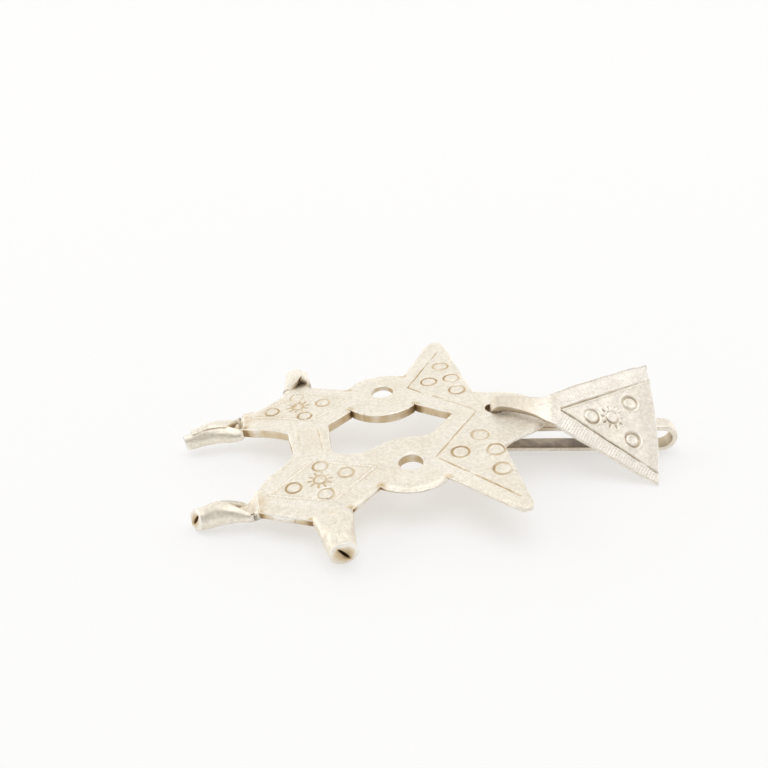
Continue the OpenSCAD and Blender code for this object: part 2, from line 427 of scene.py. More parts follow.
def plate_relief(x, y, depth, engraving, plate, ornament):
    """Height of the plate's top over its flat plan: planishing dents, edges hammered down,
    raised sides of the strip, cut lines, and rows of raised beads between two faint grooves."""
    deep, width = mm(engraving.depth), mm(engraving.width) / 2.0
    dents = mm(plate.dents)
    h = dents * waves(x, y, 0.0, 4.2, 11) + 0.3 * dents * waves(x, y, 0.0, 1.5, 12)
    near_rim = smooth((-y - 8.0) / 3.0) * smooth((x + 5.0) / 2.0) * smooth((5.0 - x) / 2.0)
    roll = 0.1 + 0.23 * near_rim
    h -= roll * np.clip(1.0 - depth / mix(0.5, 0.75, near_rim), 0.0, 1.0) ** 2
    strip = smooth((3.2 - np.abs(y)) / 0.8)
    h -= 0.13 * strip * smooth((x + 11.0) / 0.25) * smooth((-8.45 - x) / 0.25)
    h += cut_lines(ornament, engraving, 1.0, 0.25, 0.08)
    bead = 0.5 + 0.5 * np.cos(2.0 * math.pi * ornament["run"] / BEAD_PITCH)
    h += 0.7 * deep * np.exp(-((ornament["beads"] / width) ** 2)) * (0.35 + 0.65 * bead)
    h -= 0.35 * deep * np.exp(-(((ornament["beads"] - 2.0 * width) / width) ** 2))
    return h


def plate_thickness(x, y, plate):
    """Thickness of the sheet: full along the axis, hammered thin toward the outer edges and the
    end of the tongue, less so on the rhombs."""
    thin = mix(mm(plate.thin) + 0.32, mm(plate.thin), smooth((x + 9.0) / 4.0))
    from_bore = np.hypot(x - LINK_BORE[0], y - LINK_BORE[1])
    tongue = smooth((x - 9.2) / 2.2) * smooth((from_bore - 1.2) / 1.4)
    full = mix(mm(plate.thickness), mm(plate.thin) + 0.06, tongue)
    return mix(full, thin, smooth((np.abs(y) - 6.0) / 5.5))


def bent(x, y):
    """Height of the bent plate over its flat plan: two slopes that meet in a soft ridge on the
    axis, a tongue that droops past the straight edge, and a far corner bent down."""
    near, far = math.tan(math.radians(SLOPE_NEAR)), math.tan(math.radians(SLOPE_FAR))
    z = (near + far) / 2.0 * y - (near - far) / 2.0 * np.hypot(y, 1.0)
    past = x - EDGE_X
    z -= math.tan(math.radians(TONGUE_DROOP)) * (past + np.hypot(past, 0.6)) / 2.0
    z -= 0.35 * smooth((-13.2 - x) / 3.8) * smooth((y - 3.0) / 3.0)
    return z


def in_jewel(x, y, z):
    """Places in the jewel's frame, whose origin is under the middle of the outline."""
    return np.stack([x - OUTLINE_MID[0], y - OUTLINE_MID[1], z], -1)


def plate_place(x, y, h):
    """Carries a place of the plan and a height over it onto the bent, pitched plate: the height
    is set off along the bent surface's normal, found from its slopes."""
    z = bent(x, y)
    sx, sy = slopes(bent, x, y)
    size = np.sqrt(1.0 + sx * sx + sy * sy)
    past = np.maximum(x - EDGE_X, 0.0)
    px = x - (1.0 - math.cos(math.radians(TONGUE_DROOP))) * past - h * sx / size
    py = y / np.sqrt(1.0 + sy * sy) - h * sy / size
    pz = z + h / size
    px, pz = turned(px, pz, PLATE_PITCH)
    return in_jewel(px, py, pz + PLATE_HEIGHT)


def plan_grid(depth, low, high, step, inset):
    """A square grid over the plan whose vertices near the outline are moved onto the contour at
    the inset depth, by Newton's steps along the depth's slope."""
    counts = [int(math.ceil((b - a) / step / 4.0)) * 4 + 1 for a, b in zip(low, high)]
    lines = [start + step * np.arange(count) for start, count in zip(low, counts)]
    x, y = np.meshgrid(*lines, indexing="ij")
    d = depth(x, y) - inset
    on_edge = np.abs(d) < 0.55 * step
    px, py = x[on_edge], y[on_edge]
    for _ in range(3):
        gx, gy = slopes(depth, px, py)
        size = np.maximum(gx * gx + gy * gy, 0.25)
        off = np.clip(depth(px, py) - inset, -step, step)
        px, py = px - off * gx / size, py - off * gy / size
    x[on_edge], y[on_edge] = px, py
    return x, y, d, on_edge


def plan_faces(x, y, d, on_edge, depth, inset, factor, plain):
    """Triangles of the plan, as triples of grid indices. Blocks of factor by factor cells deep
    inside plain metal become fans round their middle vertex; the other cells become two
    triangles each, split along the contour where it crosses them, and those outside go."""
    ni, nj = x.shape
    index = np.arange(ni * nj).reshape(ni, nj)
    metal = (d > 0.0) | on_edge
    deep = (d > 1.5 * abs(x[1, 0] - x[0, 0])) & ~on_edge & plain
    bi, bj = (ni - 1) // factor, (nj - 1) // factor
    block = np.ones((bi, bj), bool)
    for i in range(factor + 1):
        for j in range(factor + 1):
            block &= deep[i : i + factor * (bi - 1) + 1 : factor, j : j + factor * (bj - 1) + 1 : factor]
    framed = np.pad(block, 1)
    faces = []
    middle = factor // 2
    sides = [
        ((0, 0), (1, 0), (0, -1)),
        ((factor, 0), (0, 1), (1, 0)),
        ((factor, factor), (-1, 0), (0, 1)),
        ((0, factor), (0, -1), (-1, 0)),
    ]
    for start, way, beyond in sides:
        neighbour = framed[1 + beyond[0] : 1 + beyond[0] + bi, 1 + beyond[1] : 1 + beyond[1] + bj]
        for whole in (True, False):
            i0, j0 = np.nonzero(block & (neighbour == whole))
            i0, j0 = i0 * factor, j0 * factor
            hop = factor if whole else 1
            for k in range(0, factor, hop):
                a = index[i0 + start[0] + way[0] * k, j0 + start[1] + way[1] * k]
                b = index[i0 + start[0] + way[0] * (k + hop), j0 + start[1] + way[1] * (k + hop)]
                faces.append(np.stack([a, b, index[i0 + middle, j0 + middle]], 1))
    covered = np.zeros((ni - 1, nj - 1), bool)
    covered[: bi * factor, : bj * factor] = np.kron(block, np.ones((factor, factor), bool))
    i0, j0 = np.nonzero(~covered)
    a, b, c, e = index[i0, j0], index[i0 + 1, j0], index[i0 + 1, j0 + 1], index[i0, j0 + 1]
    edge = on_edge.ravel()
    other = (edge[b] & edge[e]) & ~(edge[a] & edge[c])
    pairs = np.concatenate([
        np.stack([a, b, c], 1)[~other], np.stack([a, c, e], 1)[~other],
        np.stack([a, b, e], 1)[other], np.stack([b, c, e], 1)[other],
    ])
    pairs = pairs[metal.ravel()[pairs].all(1)]
    fx, fy = x.ravel(), y.ravel()
    rim = edge[pairs].all(1)
    middle_depth = depth(fx[pairs[rim]].mean(1), fy[pairs[rim]].mean(1)) - inset
    kept = np.ones(len(pairs), bool)
    kept[np.nonzero(rim)[0][middle_depth <= 0.0]] = False
    return np.concatenate(faces + [pairs[kept]])


def border_edges(faces):
    """The directed edges that only one face has."""
    edges = np.concatenate([faces[:, [0, 1]], faces[:, [1, 2]], faces[:, [2, 0]]])
    low, high = edges.min(1), edges.max(1)
    _, first, count = np.unique(low * (faces.max() + 1) + high, return_index=True, return_counts=True)
    return edges[first[count == 1]]


def linked_object(name, data):
    """A new object in the scene that holds the data."""
    made = bpy.data.objects.new(name, data)
    bpy.context.scene.collection.objects.link(made)
    return made


def make_piece(name, vertices, faces, attributes, material, node):
    """Makes a smooth mesh piece from vertices in millimetres and arrays of three- or four-sided
    faces. If its signed volume comes out negative, all faces are turned over."""
    tris = np.concatenate([f[:, [0, k - 1, k]] for f in faces for k in range(2, f.shape[1])])
    a, b, c = (vertices[tris[:, k]] for k in range(3))
    if (a * np.cross(b, c)).sum() < 0.0:
        faces = [f[:, ::-1] for f in faces]
    mesh = bpy.data.meshes.new(name)
    mesh.vertices.add(len(vertices))
    mesh.vertices.foreach_set("co", (vertices * MM).astype(np.float32).ravel())
    loops = np.concatenate([f.ravel() for f in faces]).astype(np.int32)
    sizes = np.concatenate([np.full(len(f), f.shape[1]) for f in faces])
    mesh.loops.add(len(loops))
    mesh.loops.foreach_set("vertex_index", loops)
    mesh.polygons.add(len(sizes))
    mesh.polygons.foreach_set("loop_start", (np.cumsum(sizes) - sizes).astype(np.int32))
    mesh.polygons.foreach_set("use_smooth", np.ones(len(sizes), bool))
    mesh.update(calc_edges=True)
    mesh.validate()
    for key, values in attributes.items():
        layer = mesh.attributes.new(key, "FLOAT", "POINT")
        layer.data.foreach_set("value", np.asarray(values, np.float32))
    mesh.materials.append(material)
    piece = linked_object(name, mesh)
    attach(piece, "root")
    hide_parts(node)
    return piece


def plain_attributes(count, edge, tarnish):
    """What the silver reads on a piece of so many vertices that carries no ornament, apart from
    the distance to a rubbed edge and the share of brown film and painted shade."""
    return {
        "groove": np.full(count, NO_GROOVE),
        "beads": np.full(count, NO_GROOVE),
        "run": np.zeros(count),
        "hatch": np.zeros(count),
        "edge": edge,
        "tarnish": tarnish,
    }


def wall_rows(rx, ry, out_way, high, low, inset):
    """The plate's wall from top to bottom, as rows round the contour: places, shares of the
    wall's tarnish, and distances to the rubbed edge. Its edges are quarter circles."""
    filed = 0.02 * waves(rx, ry, 0.0, 0.9, 31)
    rows = [
        (0.5 * inset, high - 0.13 * inset, 0.0, 0.08),
        (0.87 * inset, high - 0.5 * inset, 0.35, 0.03),
        (inset + filed, high - inset, 0.9, 0.0),
        (inset + filed, mix(high - inset, low + inset, 0.5), 1.0, 0.2),
        (inset, low + inset, 1.0, 0.2),
        (0.7 * inset, low + 0.3 * inset, 1.0, 0.1),
        (0.0, low, 0.8, 0.2),
    ]
    outs, heights, shares, edges = zip(*rows)
    places = [plate_place(rx + out * out_way[0], ry + out * out_way[1], h) for out, h in zip(outs, heights)]
    return places, shares, edges


def plate_surface(plate, engraving):
    """Vertices, faces and attributes of the plate: a top sheet and a bottom sheet over the
    same contour, joined by a wall."""
    depth = plate_depth(plate)
    inset = mm(plate.edge)
    x, y, d, on_edge = plan_grid(depth, PLAN_LOW, PLAN_HIGH, mm(plate.step), inset)
    ornament = plate_ornament(x, y, engraving)
    plain = (ornament["groove"] > 0.5) & (ornament["beads"] > 0.5) & (ornament["hatch"] < 0.01)
    top_faces = plan_faces(x, y, d, on_edge, depth, inset, 2, plain)
    low_faces = plan_faces(x, y, d, on_edge, depth, inset, 4, np.ones(x.shape, bool))
    edges = border_edges(top_faces)
    rim = np.unique(edges)
    used_top, used_low = np.unique(top_faces), np.setdiff1d(np.unique(low_faces), rim)

    fx, fy = x.ravel(), y.ravel()
    inside = np.maximum(d.ravel(), 0.0) + inset
    flat = {key: values.ravel() for key, values in ornament.items()}
    h = plate_relief(fx, fy, inside, engraving, plate, flat)
    under = -plate_thickness(fx, fy, plate) + 0.5 * mm(plate.dents) * waves(fx, fy, 5.0, 3.0, 21)

    rx, ry = fx[rim], fy[rim]
    inward = np.stack(slopes(depth, rx, ry))
    outward = -inward / np.maximum(np.hypot(*inward), 1e-9)
    walls, wall_shares, wall_edges = wall_rows(rx, ry, outward, h[rim], under[rim], inset)
    places = [plate_place(fx[used_top], fy[used_top], h[used_top]), *walls]
    places.append(plate_place(fx[used_low], fy[used_low], under[used_low]))

    # from grid indices to the vertices of the top sheet, the wall's rows and the bottom sheet
    n_top, n_rim, n_low = len(used_top), len(rim), len(used_low)
    after_walls = n_top + len(walls) * n_rim
    to_top, to_rim, to_low = (np.full(len(fx), -1) for _ in range(3))
    to_top[used_top] = np.arange(n_top)
    to_rim[rim] = np.arange(n_rim)
    to_low[used_low] = after_walls + np.arange(n_low)
    to_low[rim] = after_walls - n_rim + np.arange(n_rim)
    faces = [to_top[top_faces], to_low[low_faces][:, ::-1]]
    upper = to_top[edges]
    for k in range(len(walls)):
        lower = n_top + k * n_rim + to_rim[edges]
        faces.append(np.stack([upper[:, 1], upper[:, 0], lower[:, 0], lower[:, 1]], 1))
        upper = lower

    edge = [inside[used_top], np.repeat(wall_edges, n_rim), np.maximum(inside[used_low], 0.2)]
    wall_dirt = np.tile(wall_tarnish_and_shade(rx, ry), len(walls)) * np.repeat(wall_shares, n_rim)
    dirt = [top_tarnish(fx[used_top], fy[used_top]), wall_dirt, np.full(n_low, 0.35)]
    attributes = plain_attributes(after_walls + n_low, np.concatenate(edge), np.concatenate(dirt))
    for key, values in flat.items():
        attributes[key][:n_top] = values[used_top]
    return np.concatenate(places), faces, attributes


def near_place(x, y, places, reach):
    """1 at each of some places, falling off as a bell curve of the given reach."""
    found = np.zeros(np.shape(x))
    for px, py in places:
        found = np.maximum(found, np.exp(-((x - px) ** 2 + (y - py) ** 2) / reach**2))
    return found


# Corners where a brown film has gathered, and roots of the tabs, where the top is darker
NOTCHES = [(-4.4, 5.3), (2.95, 3.6), (-3.9, 10.0), (3.07, 10.7), (-3.9, -10.0), (3.05, -10.7),
           (-16.7, 6.4), (-16.5, 9.1), (-16.4, -10.1), (-11.5, -13.0), (-7.4, -12.5)]
TAB_ROOTS = [(-9.5, 12.4), (-9.4, -12.9), (-16.6, 7.7), (-16.4, -8.5)]


def wall_tarnish_and_shade(x, y):
    """Tarnish on the cut edges: strong round the opening, weak on the filed outer edges, full in
    the notches. The walls of the tongue's link bore are painted dark as well: painted shade."""
    inner = smooth((6.5 - np.abs(y)) / 2.0) * smooth((x + 17.5) / 2.0) * smooth((8.0 - x) / 2.0)
    uneven = 0.12 * waves(x, y, 0.0, 2.0, 41)
    bores = near_place(x, y, [BORE_FAR, BORE_NEAR], 2.2)
    # painted shade: the walls of the tongue's link bore are darkened fully
    link = near_place(x, y, [LINK_BORE], 1.8)
    notches = near_place(x, y, NOTCHES, 0.6)
    return np.clip(mix(0.14, 0.42, inner) + uneven + notches + 0.25 * bores + link, 0.0, 1.0)


def top_tarnish(x, y):
    """Tarnish on the top: a little in the notches and in the flowers, and a darkening where the tabs
    leave the plate."""
    roots = near_place(x, y, TAB_ROOTS, 1.0)
    flowers = near_place(x, y, [FAR_ORNAMENT["rosette"], NEAR_ORNAMENT["rosette"]], 0.9)
    flowers = flowers * np.clip(0.5 + waves(x, y, 0.0, 0.9, 43), 0.0, 1.5)
    dirt = 0.6 * near_place(x, y, NOTCHES, 0.45) + 0.25 * roots + 0.36 * flowers
    return np.clip(dirt + 0.06 * waves(x, y, 0.0, 6.0, 42), 0.0, 1.0)


def rolled_end(end, radius, sheet, seed):
    """A tab curled to a tube, along X from its root at the origin. Each section is a strip bent
    to an arc of an ellipse. Its half angle grows from flat to upright sides close to the root,
    and then, as an arcsine, so that the two edges draw a straight V on top, to a full turn, or
    past it where one flap is tucked under the other. The chord narrows evenly from the root's
    width to the tube's, the ellipse is flattened at the root, and its bottom drops below the
    plate. Toward the open end the inner side closes on a flat slit, an ellipse in polar form,
    and the sheet ends in a slanting or an oblique cut. Returns the places as rings of points
    along the tube: outside, seam edge, inside, seam edge; then the share of brown film and
    painted shade, and the distance from the root."""
    side = 68
    length = end["length"]
    s = np.concatenate([np.linspace(-1.1, 0.0, 8)[:-1], np.linspace(0.0, length, 76), [length, length]])

    # how far the sides stand up, and how far the flaps close over them
    upright = smooth(s / (end["upright"] * length))
    share = np.clip((s - 0.5 * end["upright"] * length) / (end["closing"] * length), 0.0, 1.0)
    closed = 1.0 - np.arcsin(1.0 - share) / (math.pi / 2.0)
    full = math.pi * (1.0 - end["gap"])
    half = np.maximum(math.pi / 2.0 * upright + (full - math.pi / 2.0) * closed, 0.02)[:, None]
    u = np.concatenate([[-1.0], np.linspace(-0.993, 0.993, side - 2), [1.0]])
    half = half * np.where(u < 0.0, mix(1.0 - end["lag"], 1.0, closed)[:, None], 1.0)
    phi = half * u + math.radians(end["shift"]) * closed[:, None]

    # the bent sheet: its thickness, chord and flattening, and the height of its bottom
    root_thick, root_height = 0.9, -0.48
    tube = radius - sheet / 2.0
    thick = mix(root_thick, sheet, smooth(s / (0.4 * length)))
    chord = mix(end["root"] - thick * upright, 2.0 * tube, np.clip(s / (0.9 * length), 0.0, 1.0) ** 0.8)
    bend = chord[:, None] / 2.0 / np.sin(np.minimum(half, math.pi / 2.0))
    flatten = mix(end["flat"], end["round"], smooth(s / (0.75 * length)))[:, None]
    sag = mix(root_height, end["centre"] - tube, smooth(s / (end["sink"] * length)))[:, None]
    middle = sag + bend * flatten
    tucked = end["tuck"] * smooth((u - 0.45) / 0.5) * closed[:, None]
    across = flatten * np.sin(phi)
    size = np.hypot(across, np.cos(phi))
    roundings = np.zeros((len(s), 1))
    roundings[-2:, 0] = [0.05, 0.14]

    def at(off):
        r = bend - tucked
        v = r * np.sin(phi) + off * across / size
        return v, middle - r * flatten * np.cos(phi) - off * np.cos(phi) / size

    uneven = 0.025 * waves(s[:, None], 3.0 * np.cos(phi), 3.0 * np.sin(phi), 2.2, seed)
    ov, ow = at(thick[:, None] / 2.0 - roundings + uneven)
    iv, iw = at(-thick[:, None] / 2.0)

    # the slit on which the inner side closes
    long, short, tilt = end["slit"]
    turn = math.radians(end["seam"]) * closed[:, None] ** 2
    tilted = phi - math.radians(tilt) + turn
    oval = 1.0 / np.sqrt((np.sin(tilted) / long) ** 2 + (np.cos(tilted) / short) ** 2)
    oval = oval + 0.6 * roundings
    filled = smooth((closed[:, None] - 0.8) / 0.2)
    iv = mix(iv, oval * np.sin(phi), filled)
    iw = mix(iw, middle - oval * np.cos(phi), filled)

    # the root lies a little under the plate's top, the open end is cut, the section is turned
    v = np.concatenate([ov, iv[:, ::-1]], 1)
    w = np.concatenate([ow, iw[:, ::-1]], 1) - 0.13 * smooth((0.6 - s) / 1.2)[:, None]
    pivot = np.where(closed > 0.0, middle[:, side // 2], 0.0)[:, None]
    dw = w - pivot
    cut, angle = end["cut"]
    slant = (v * math.cos(math.radians(angle)) + dw * math.sin(math.radians(angle))) / radius
    oblique = end["oblique"] * np.concatenate([u, u[::-1]])
    along = s[:, None] + (cut * slant + oblique) * np.clip(s / length, 0.0, 1.0)[:, None] ** 3
    along[-1] += 0.06
    v, w = v * np.cos(turn) - dw * np.sin(turn), pivot + v * np.sin(turn) + dw * np.cos(turn)

    # brown film with painted shade on the inner side, the shade deepening where the flaps close over it, a
    # stain that stays on its rim, and a line along the seam
    inner = np.concatenate([np.zeros(phi.shape), np.ones(phi.shape)], 1)
    seam_gap = np.concatenate([1.0 - np.abs(u), 1.0 - np.abs(u[::-1])])
    # painted shade: the inner side darkens further in, up to 0.95 where the flaps have closed over it
    deep = mix(end["mouth"], 0.95, smooth((s - end["closing"] * length) / (0.3 * length)))[:, None]
    rim = np.maximum(smooth((length - s) / 0.14), end["stain"])[:, None]
    dirt = inner * deep * smooth((s[:, None] - 0.2) / (0.3 * length)) * rim
    dirt = dirt + (1.0 - inner) * 0.6 * (end["mouth"] - 0.2) * np.exp(-((seam_gap / 0.02) ** 2))
    return along, v, w, dirt, s


def roll_places(end, along, v, w):
    """Places of a roll in the jewel's frame: turned down by its droop about a hinge under its
    root, then toward its heading, and set on the plate."""
    hinge = 0.7
    down = math.radians(end["droop"])
    forward = along * math.cos(down) + (w + hinge) * math.sin(down)
    height = -along * math.sin(down) + (w + hinge) * math.cos(down) - hinge
    forward = np.where(along > 0.0, forward, along)
    height = np.where(along > 0.0, height, w)
    x, y = turned(forward, v, end["heading"])
    return plate_place(end["place"][0] + x, end["place"][1] + y, height).reshape(-1, 3)


def grid_faces(rows, columns):
    """Four-sided faces of a grid of rows by columns whose columns join up in a ring."""
    i, j = np.meshgrid(np.arange(rows - 1), np.arange(columns), indexing="ij")
    a, b = i * columns + j, i * columns + (j + 1) % columns
    return np.stack([a, b, b + columns, a + columns], -1).reshape(-1, 4)


def tube_faces(rows, columns):
    """Faces of such a grid, with a flat face at both ends."""
    ring = np.arange(columns)[None]
    return [grid_faces(rows, columns), ring[:, ::-1], ring + (rows - 1) * columns]


def strip_cap(row, columns, reverse):
    """Closes the end of a bent strip: each outer point joins the inner point across the sheet."""
    side = columns // 2
    k = np.arange(side - 1)
    a, b = row * columns + k, row * columns + k + 1
    c, d = row * columns + columns - 2 - k, row * columns + columns - 1 - k
    cap = np.stack([a, b, c, d], 1)
    return cap[:, ::-1] if reverse else cap


# The rolled ends: a plain one, and for each end its own values and those that differ:
# place, heading, droop: the tab's root in the plan, and its way across and down in degrees
# radius: the setting that holds the tube's radius
# length, root: the tab's length, and its width at the root
# centre, sink: height of the tube's middle, and share of the length in which its bottom drops
# upright, closing: shares of the length in which the sides stand up and the flaps close
# flat, round: height of the section over its width at the root and as a tube
# gap, tuck: share of the turn left open, or overlapped below 0, and depth of the tucked left flap
# lag: share by which the right flap bends less at first
# seam, shift: turns of the whole section and of the seam round it, in degrees
# slit: half widths and tilt of the opening at the end
# cut, oblique: reach and direction of the slanting cut, and lead of the left flap's edge
# mouth, stain: brown film and painted shade inside between the open flaps, and the stain on the rim of the
# end
PLAIN_ROLL = {
    "droop": 0.0, "round": 1.0, "tuck": 0.0, "seam": 0.0, "shift": 0.0, "oblique": 0.0, "mouth": 0.2,
    "stain": 0.45,
}
ROLLED_ENDS = {
    "rolled_end_far_low": {
        **PLAIN_ROLL,
        "place": (-16.4, 8.1), "heading": 183.0, "droop": 2.4, "radius": "low_radius", "length": 6.8,
        "root": 3.7, "centre": -0.6, "sink": 0.15, "upright": 0.06, "closing": 0.32, "flat": 0.24,
        "gap": -0.04, "tuck": 0.14, "lag": 0.35, "seam": -24.0, "slit": (0.5, 0.2, 90.0),
        "cut": (0.1, -25.0), "oblique": 0.55, "mouth": 0.45,
    },
    "rolled_end_near_low": {
        **PLAIN_ROLL,
        "place": (-16.05, -8.2), "heading": 180.0, "droop": 1.0, "radius": "low_radius", "length": 6.75,
        "root": 3.7, "centre": -0.68, "sink": 0.21, "upright": 0.22, "closing": 0.5, "flat": 0.24,
        "gap": 0.012, "lag": 0.68, "seam": 24.0, "slit": (0.84, 0.24, 60.0), "cut": (0.62, 192.0),
    },
    "rolled_end_far_side": {
        **PLAIN_ROLL,
        "place": (-9.7, 12.0), "heading": 86.0, "radius": "far_radius", "length": 5.5,
        "root": 3.8, "centre": -0.35, "sink": 1.0, "upright": 0.14, "closing": 0.46, "flat": 0.12,
        "round": 0.62, "gap": 0.01, "lag": 0.7, "shift": 28.0, "slit": (0.6, 0.2, 0.0),
        "cut": (0.15, 20.0),
    },
    "rolled_end_near_side": {
        **PLAIN_ROLL,
        "place": (-9.42, -12.45), "heading": -87.5, "radius": "near_radius", "length": 5.25,
        "root": 4.35, "centre": -0.68, "sink": 0.62, "upright": 0.04, "closing": 0.13, "flat": 0.12,
        "round": 0.84, "gap": 0.001, "lag": 0.0, "slit": (0.84, 0.17, -55.0), "cut": (0.05, 120.0),
        "stain": 0.8,
    },
}


# Half widths of strap and shield against the run from the shield's neck
STRAP_WIDTHS = [(-9.2, 0.62), (-7.5, 0.66), (-6.6, 0.98), (-5.8, 1.06), (-4.5, 1.08), (-2.4, 1.15),
                (-1.2, 1.36), (0.0, 1.9), (1.7, 2.85), (3.0, 3.6), (4.2, 4.2), (6.2, 5.15),
                (9.6, 6.7), (11.9, 7.62)]


def frame_way(place, axis):
    """The way in the jewel's frame of an axis of the frame whose places the function gives."""
    return place(np.eye(3)[axis]) - place(np.zeros(3))


def strap_path(hook):
    """Middle line of the strap and shield with its run from the shield's neck, its side and its
    upward directions: up the riser, round the bend, over on a cubic curve to the neck, then
    straight along the shield."""
    foot, top, radius = 4.35, 5.17, 0.85
    start_pull, neck_pull = 1.1, 0.6
    riser = np.stack([np.zeros(10), np.zeros(10), np.linspace(foot, top, 10)], 1)
    a = np.linspace(math.pi, math.pi / 2.0, 20)[1:]
    bend = np.stack([radius + radius * np.cos(a), np.zeros(19), top + radius * np.sin(a)], 1)
    first = hook_place(np.concatenate([riser, bend]))
    start_way = frame_way(hook_place, 0)
    neck = shield_place(np.array([SHIELD_NECK, 0.0, 0.0]))
    neck_way = shield_place(np.array([SHIELD_NECK + 1.0, 0.0, 0.0])) - neck
    start = first[-1]
    span = float(np.linalg.norm(neck - start))
    t = np.linspace(0.0, 1.0, 56)[1:, None]
    curve = (
        (2 * t**3 - 3 * t**2 + 1) * start
        + (t**3 - 2 * t**2 + t) * start_way * span * start_pull
        + (3 * t**2 - 2 * t**3) * neck
        + (t**3 - t**2) * neck_way * span * neck_pull
    )
    plane = neck + np.linspace(0.0, mm(hook.shield_long), 118)[1:, None] * neck_way
    middle = np.concatenate([first, curve, plane])
    run = np.concatenate([[0.0], np.cumsum(np.linalg.norm(np.diff(middle, axis=0), axis=1))])
    run -= run[len(first) + len(curve) - 1]
    along = np.gradient(middle, axis=0)
    along /= np.linalg.norm(along, axis=1)[:, None]
    turned_over = smooth((run + span) / span)[:, None]
    side = mix(frame_way(hook_place, 1), frame_way(shield_place, 1), turned_over)
    side -= (side * along).sum(1)[:, None] * along
    side /= np.linalg.norm(side, axis=1)[:, None]
    return middle, run, along, side, np.cross(along, side)


def bar_section(across, below):
    """Section of a flat bar with rounded corners, top from near to far, then the far edge, the
    bottom back and the near edge. For each point: its share of the flat half width, its reach
    past that as a share of the corner's radius, 1 for the top face or -1 for the bottom, and
    its height over that face as a share of the radius."""
    a = np.linspace(0.0, math.pi / 2.0, 4)
    top, low, one = np.zeros(across), np.zeros(below), np.ones(4)
    there, back = np.linspace(-1.0, 1.0, across), np.linspace(1.0, -1.0, below)
    share = np.concatenate([there, one, one, back, -one, -one])
    corner = np.concatenate([top, np.sin(a), np.cos(a), low, -np.sin(a), -np.cos(a)])
    level = np.concatenate([top + 1.0, one, -one, low - 1.0, -one, one])
    drop = np.concatenate([top, np.cos(a) - 1.0, 1.0 - np.sin(a), low, 1.0 - np.cos(a), np.sin(a) - 1.0])
    return share, corner, level, drop


def strap_width(s, length):
    """Half width along the strap and shield, read off its row of half widths and softened by a
    moving average, apart from the last stretch before the base's sharp corners."""
    fine = np.linspace(s[0] - 1.0, s[-1] + 1.0, 600)
    widths = np.interp(fine, *np.transpose(STRAP_WIDTHS))
    kernel = np.hanning(41) / np.hanning(41).sum()
    half = np.interp(s, fine, np.convolve(np.pad(widths, 20, mode="edge"), kernel, mode="valid"))
    half = np.where(s > length - 1.5, np.interp(s, *np.transpose(STRAP_WIDTHS)), half)
    return half + 0.04 * waves(s, 0.0, 0.0, 3.0, 51)


def strap_and_shield(hook, engraving):
    """The strap that leaves the ear wire's bend and widens into the shield, as a flat bar's
    section carried along one curve. The shield's base bows out, its near side is a little
    hollow and its far corner reaches further. Returns vertices, faces and attributes."""
    middle, s, along, side, up = strap_path(hook)
    length = mm(hook.shield_long)
    on_shield = smooth((s + 6.5) / 6.5)
    half = strap_width(s, length)
    thick = mix(mm(hook.strap), mm(hook.shield), on_shield)
    offset = mix(0.0, 0.05 - mm(hook.shield) / 2.0, on_shield)
    wide = np.clip(s / length, 0.0, 1.0)

    across, below = 156, 44
    share, corner, level, drop = bar_section(across, below)
    is_top = np.arange(len(share)) < across
    r = (mix(0.22, 0.42, on_shield) * thick)[:, None]
    y = share * (half[:, None] - r) + corner * r
    y = y + 0.2 * (4.0 * wide * (1.0 - wide))[:, None] * np.clip(-share, 0.0, 1.0)
    y = y + 0.36 * (wide**3)[:, None] * np.clip(share, 0.0, 1.0)
    bow = (0.5 * (1.0 - share**2) + 0.18 * share) * smooth((wide - 0.5) / 0.5)[:, None]
    x = SHIELD_NECK + s[:, None] + bow

    ornament = shield_ornament(x, y, engraving)
    edge = np.minimum(half[:, None] - np.abs(y), (length - s)[:, None] + 0.0 * y)
    relief = cut_lines(ornament, engraving, 0.8, 0.3, 0.14)
    relief -= 0.1 * np.clip(1.0 - edge / 1.9, 0.0, 1.0) ** 1.5 * smooth(s / 2.0)[:, None]
    dents = 0.035 * waves(x, y, 0.0, 3.6, 52) + 0.006 * waves(x, y, 0.0, 1.1, 53)
    h = level * thick[:, None] / 2.0 + offset[:, None] + drop * r + relief * is_top
    h = h + dents * smooth(s / 3.0 + 1.0)[:, None]
    places = (
        middle[:, None, :]
        + bow[:, :, None] * along[:, None, :]
        + y[:, :, None] * side[:, None, :]
        + h[:, :, None] * up[:, None, :]
    )

    # two shrinking rows and a flat last face close the base edge
    level_h = h[-1] - offset[-1]
    ends = [
        places[-1] + along[-1] * out - up[-1] * (level_h * (1.0 - squeeze))[:, None]
        for out, squeeze in ((0.07, 0.78), (0.11, 0.45))
    ]
    rows, columns = places.shape[:2]
    places = np.concatenate([places.reshape(-1, 3)] + ends)

    def grown(values):
        return np.concatenate([values.ravel(), values[-1], values[-1]])

    film = 0.03 + 0.19 * (1.0 - smooth((s + 2.5) / 2.5))[:, None]
    # painted shade: the underside is darkened, most under the neck, and the sides near the bend are
    # darkened too
    under = 0.5 * (1.0 - smooth((s - 0.5) / 6.0))[:, None] + 0.15
    side_shade = (np.abs(corner) > 0.5) * (1.0 - smooth((s + 0.5) / 2.0))[:, None]
    tarnish = np.maximum(np.where(level > 0.0, film, under), 0.45 * side_shade) + 0.0 * y
    edge = np.clip(np.where(level > 0.0, edge, edge + 0.1), 0.0, 2.0)
    attributes = plain_attributes(len(places), grown(edge), grown(tarnish))
    attributes["groove"] = grown(np.where(is_top, ornament["groove"], NO_GROOVE))
    attributes["hatch"] = grown(np.where(is_top, ornament["hatch"], 0.0))
    attributes["run"] = grown(ornament["run"])
    return places, tube_faces(rows + 2, columns), attributes


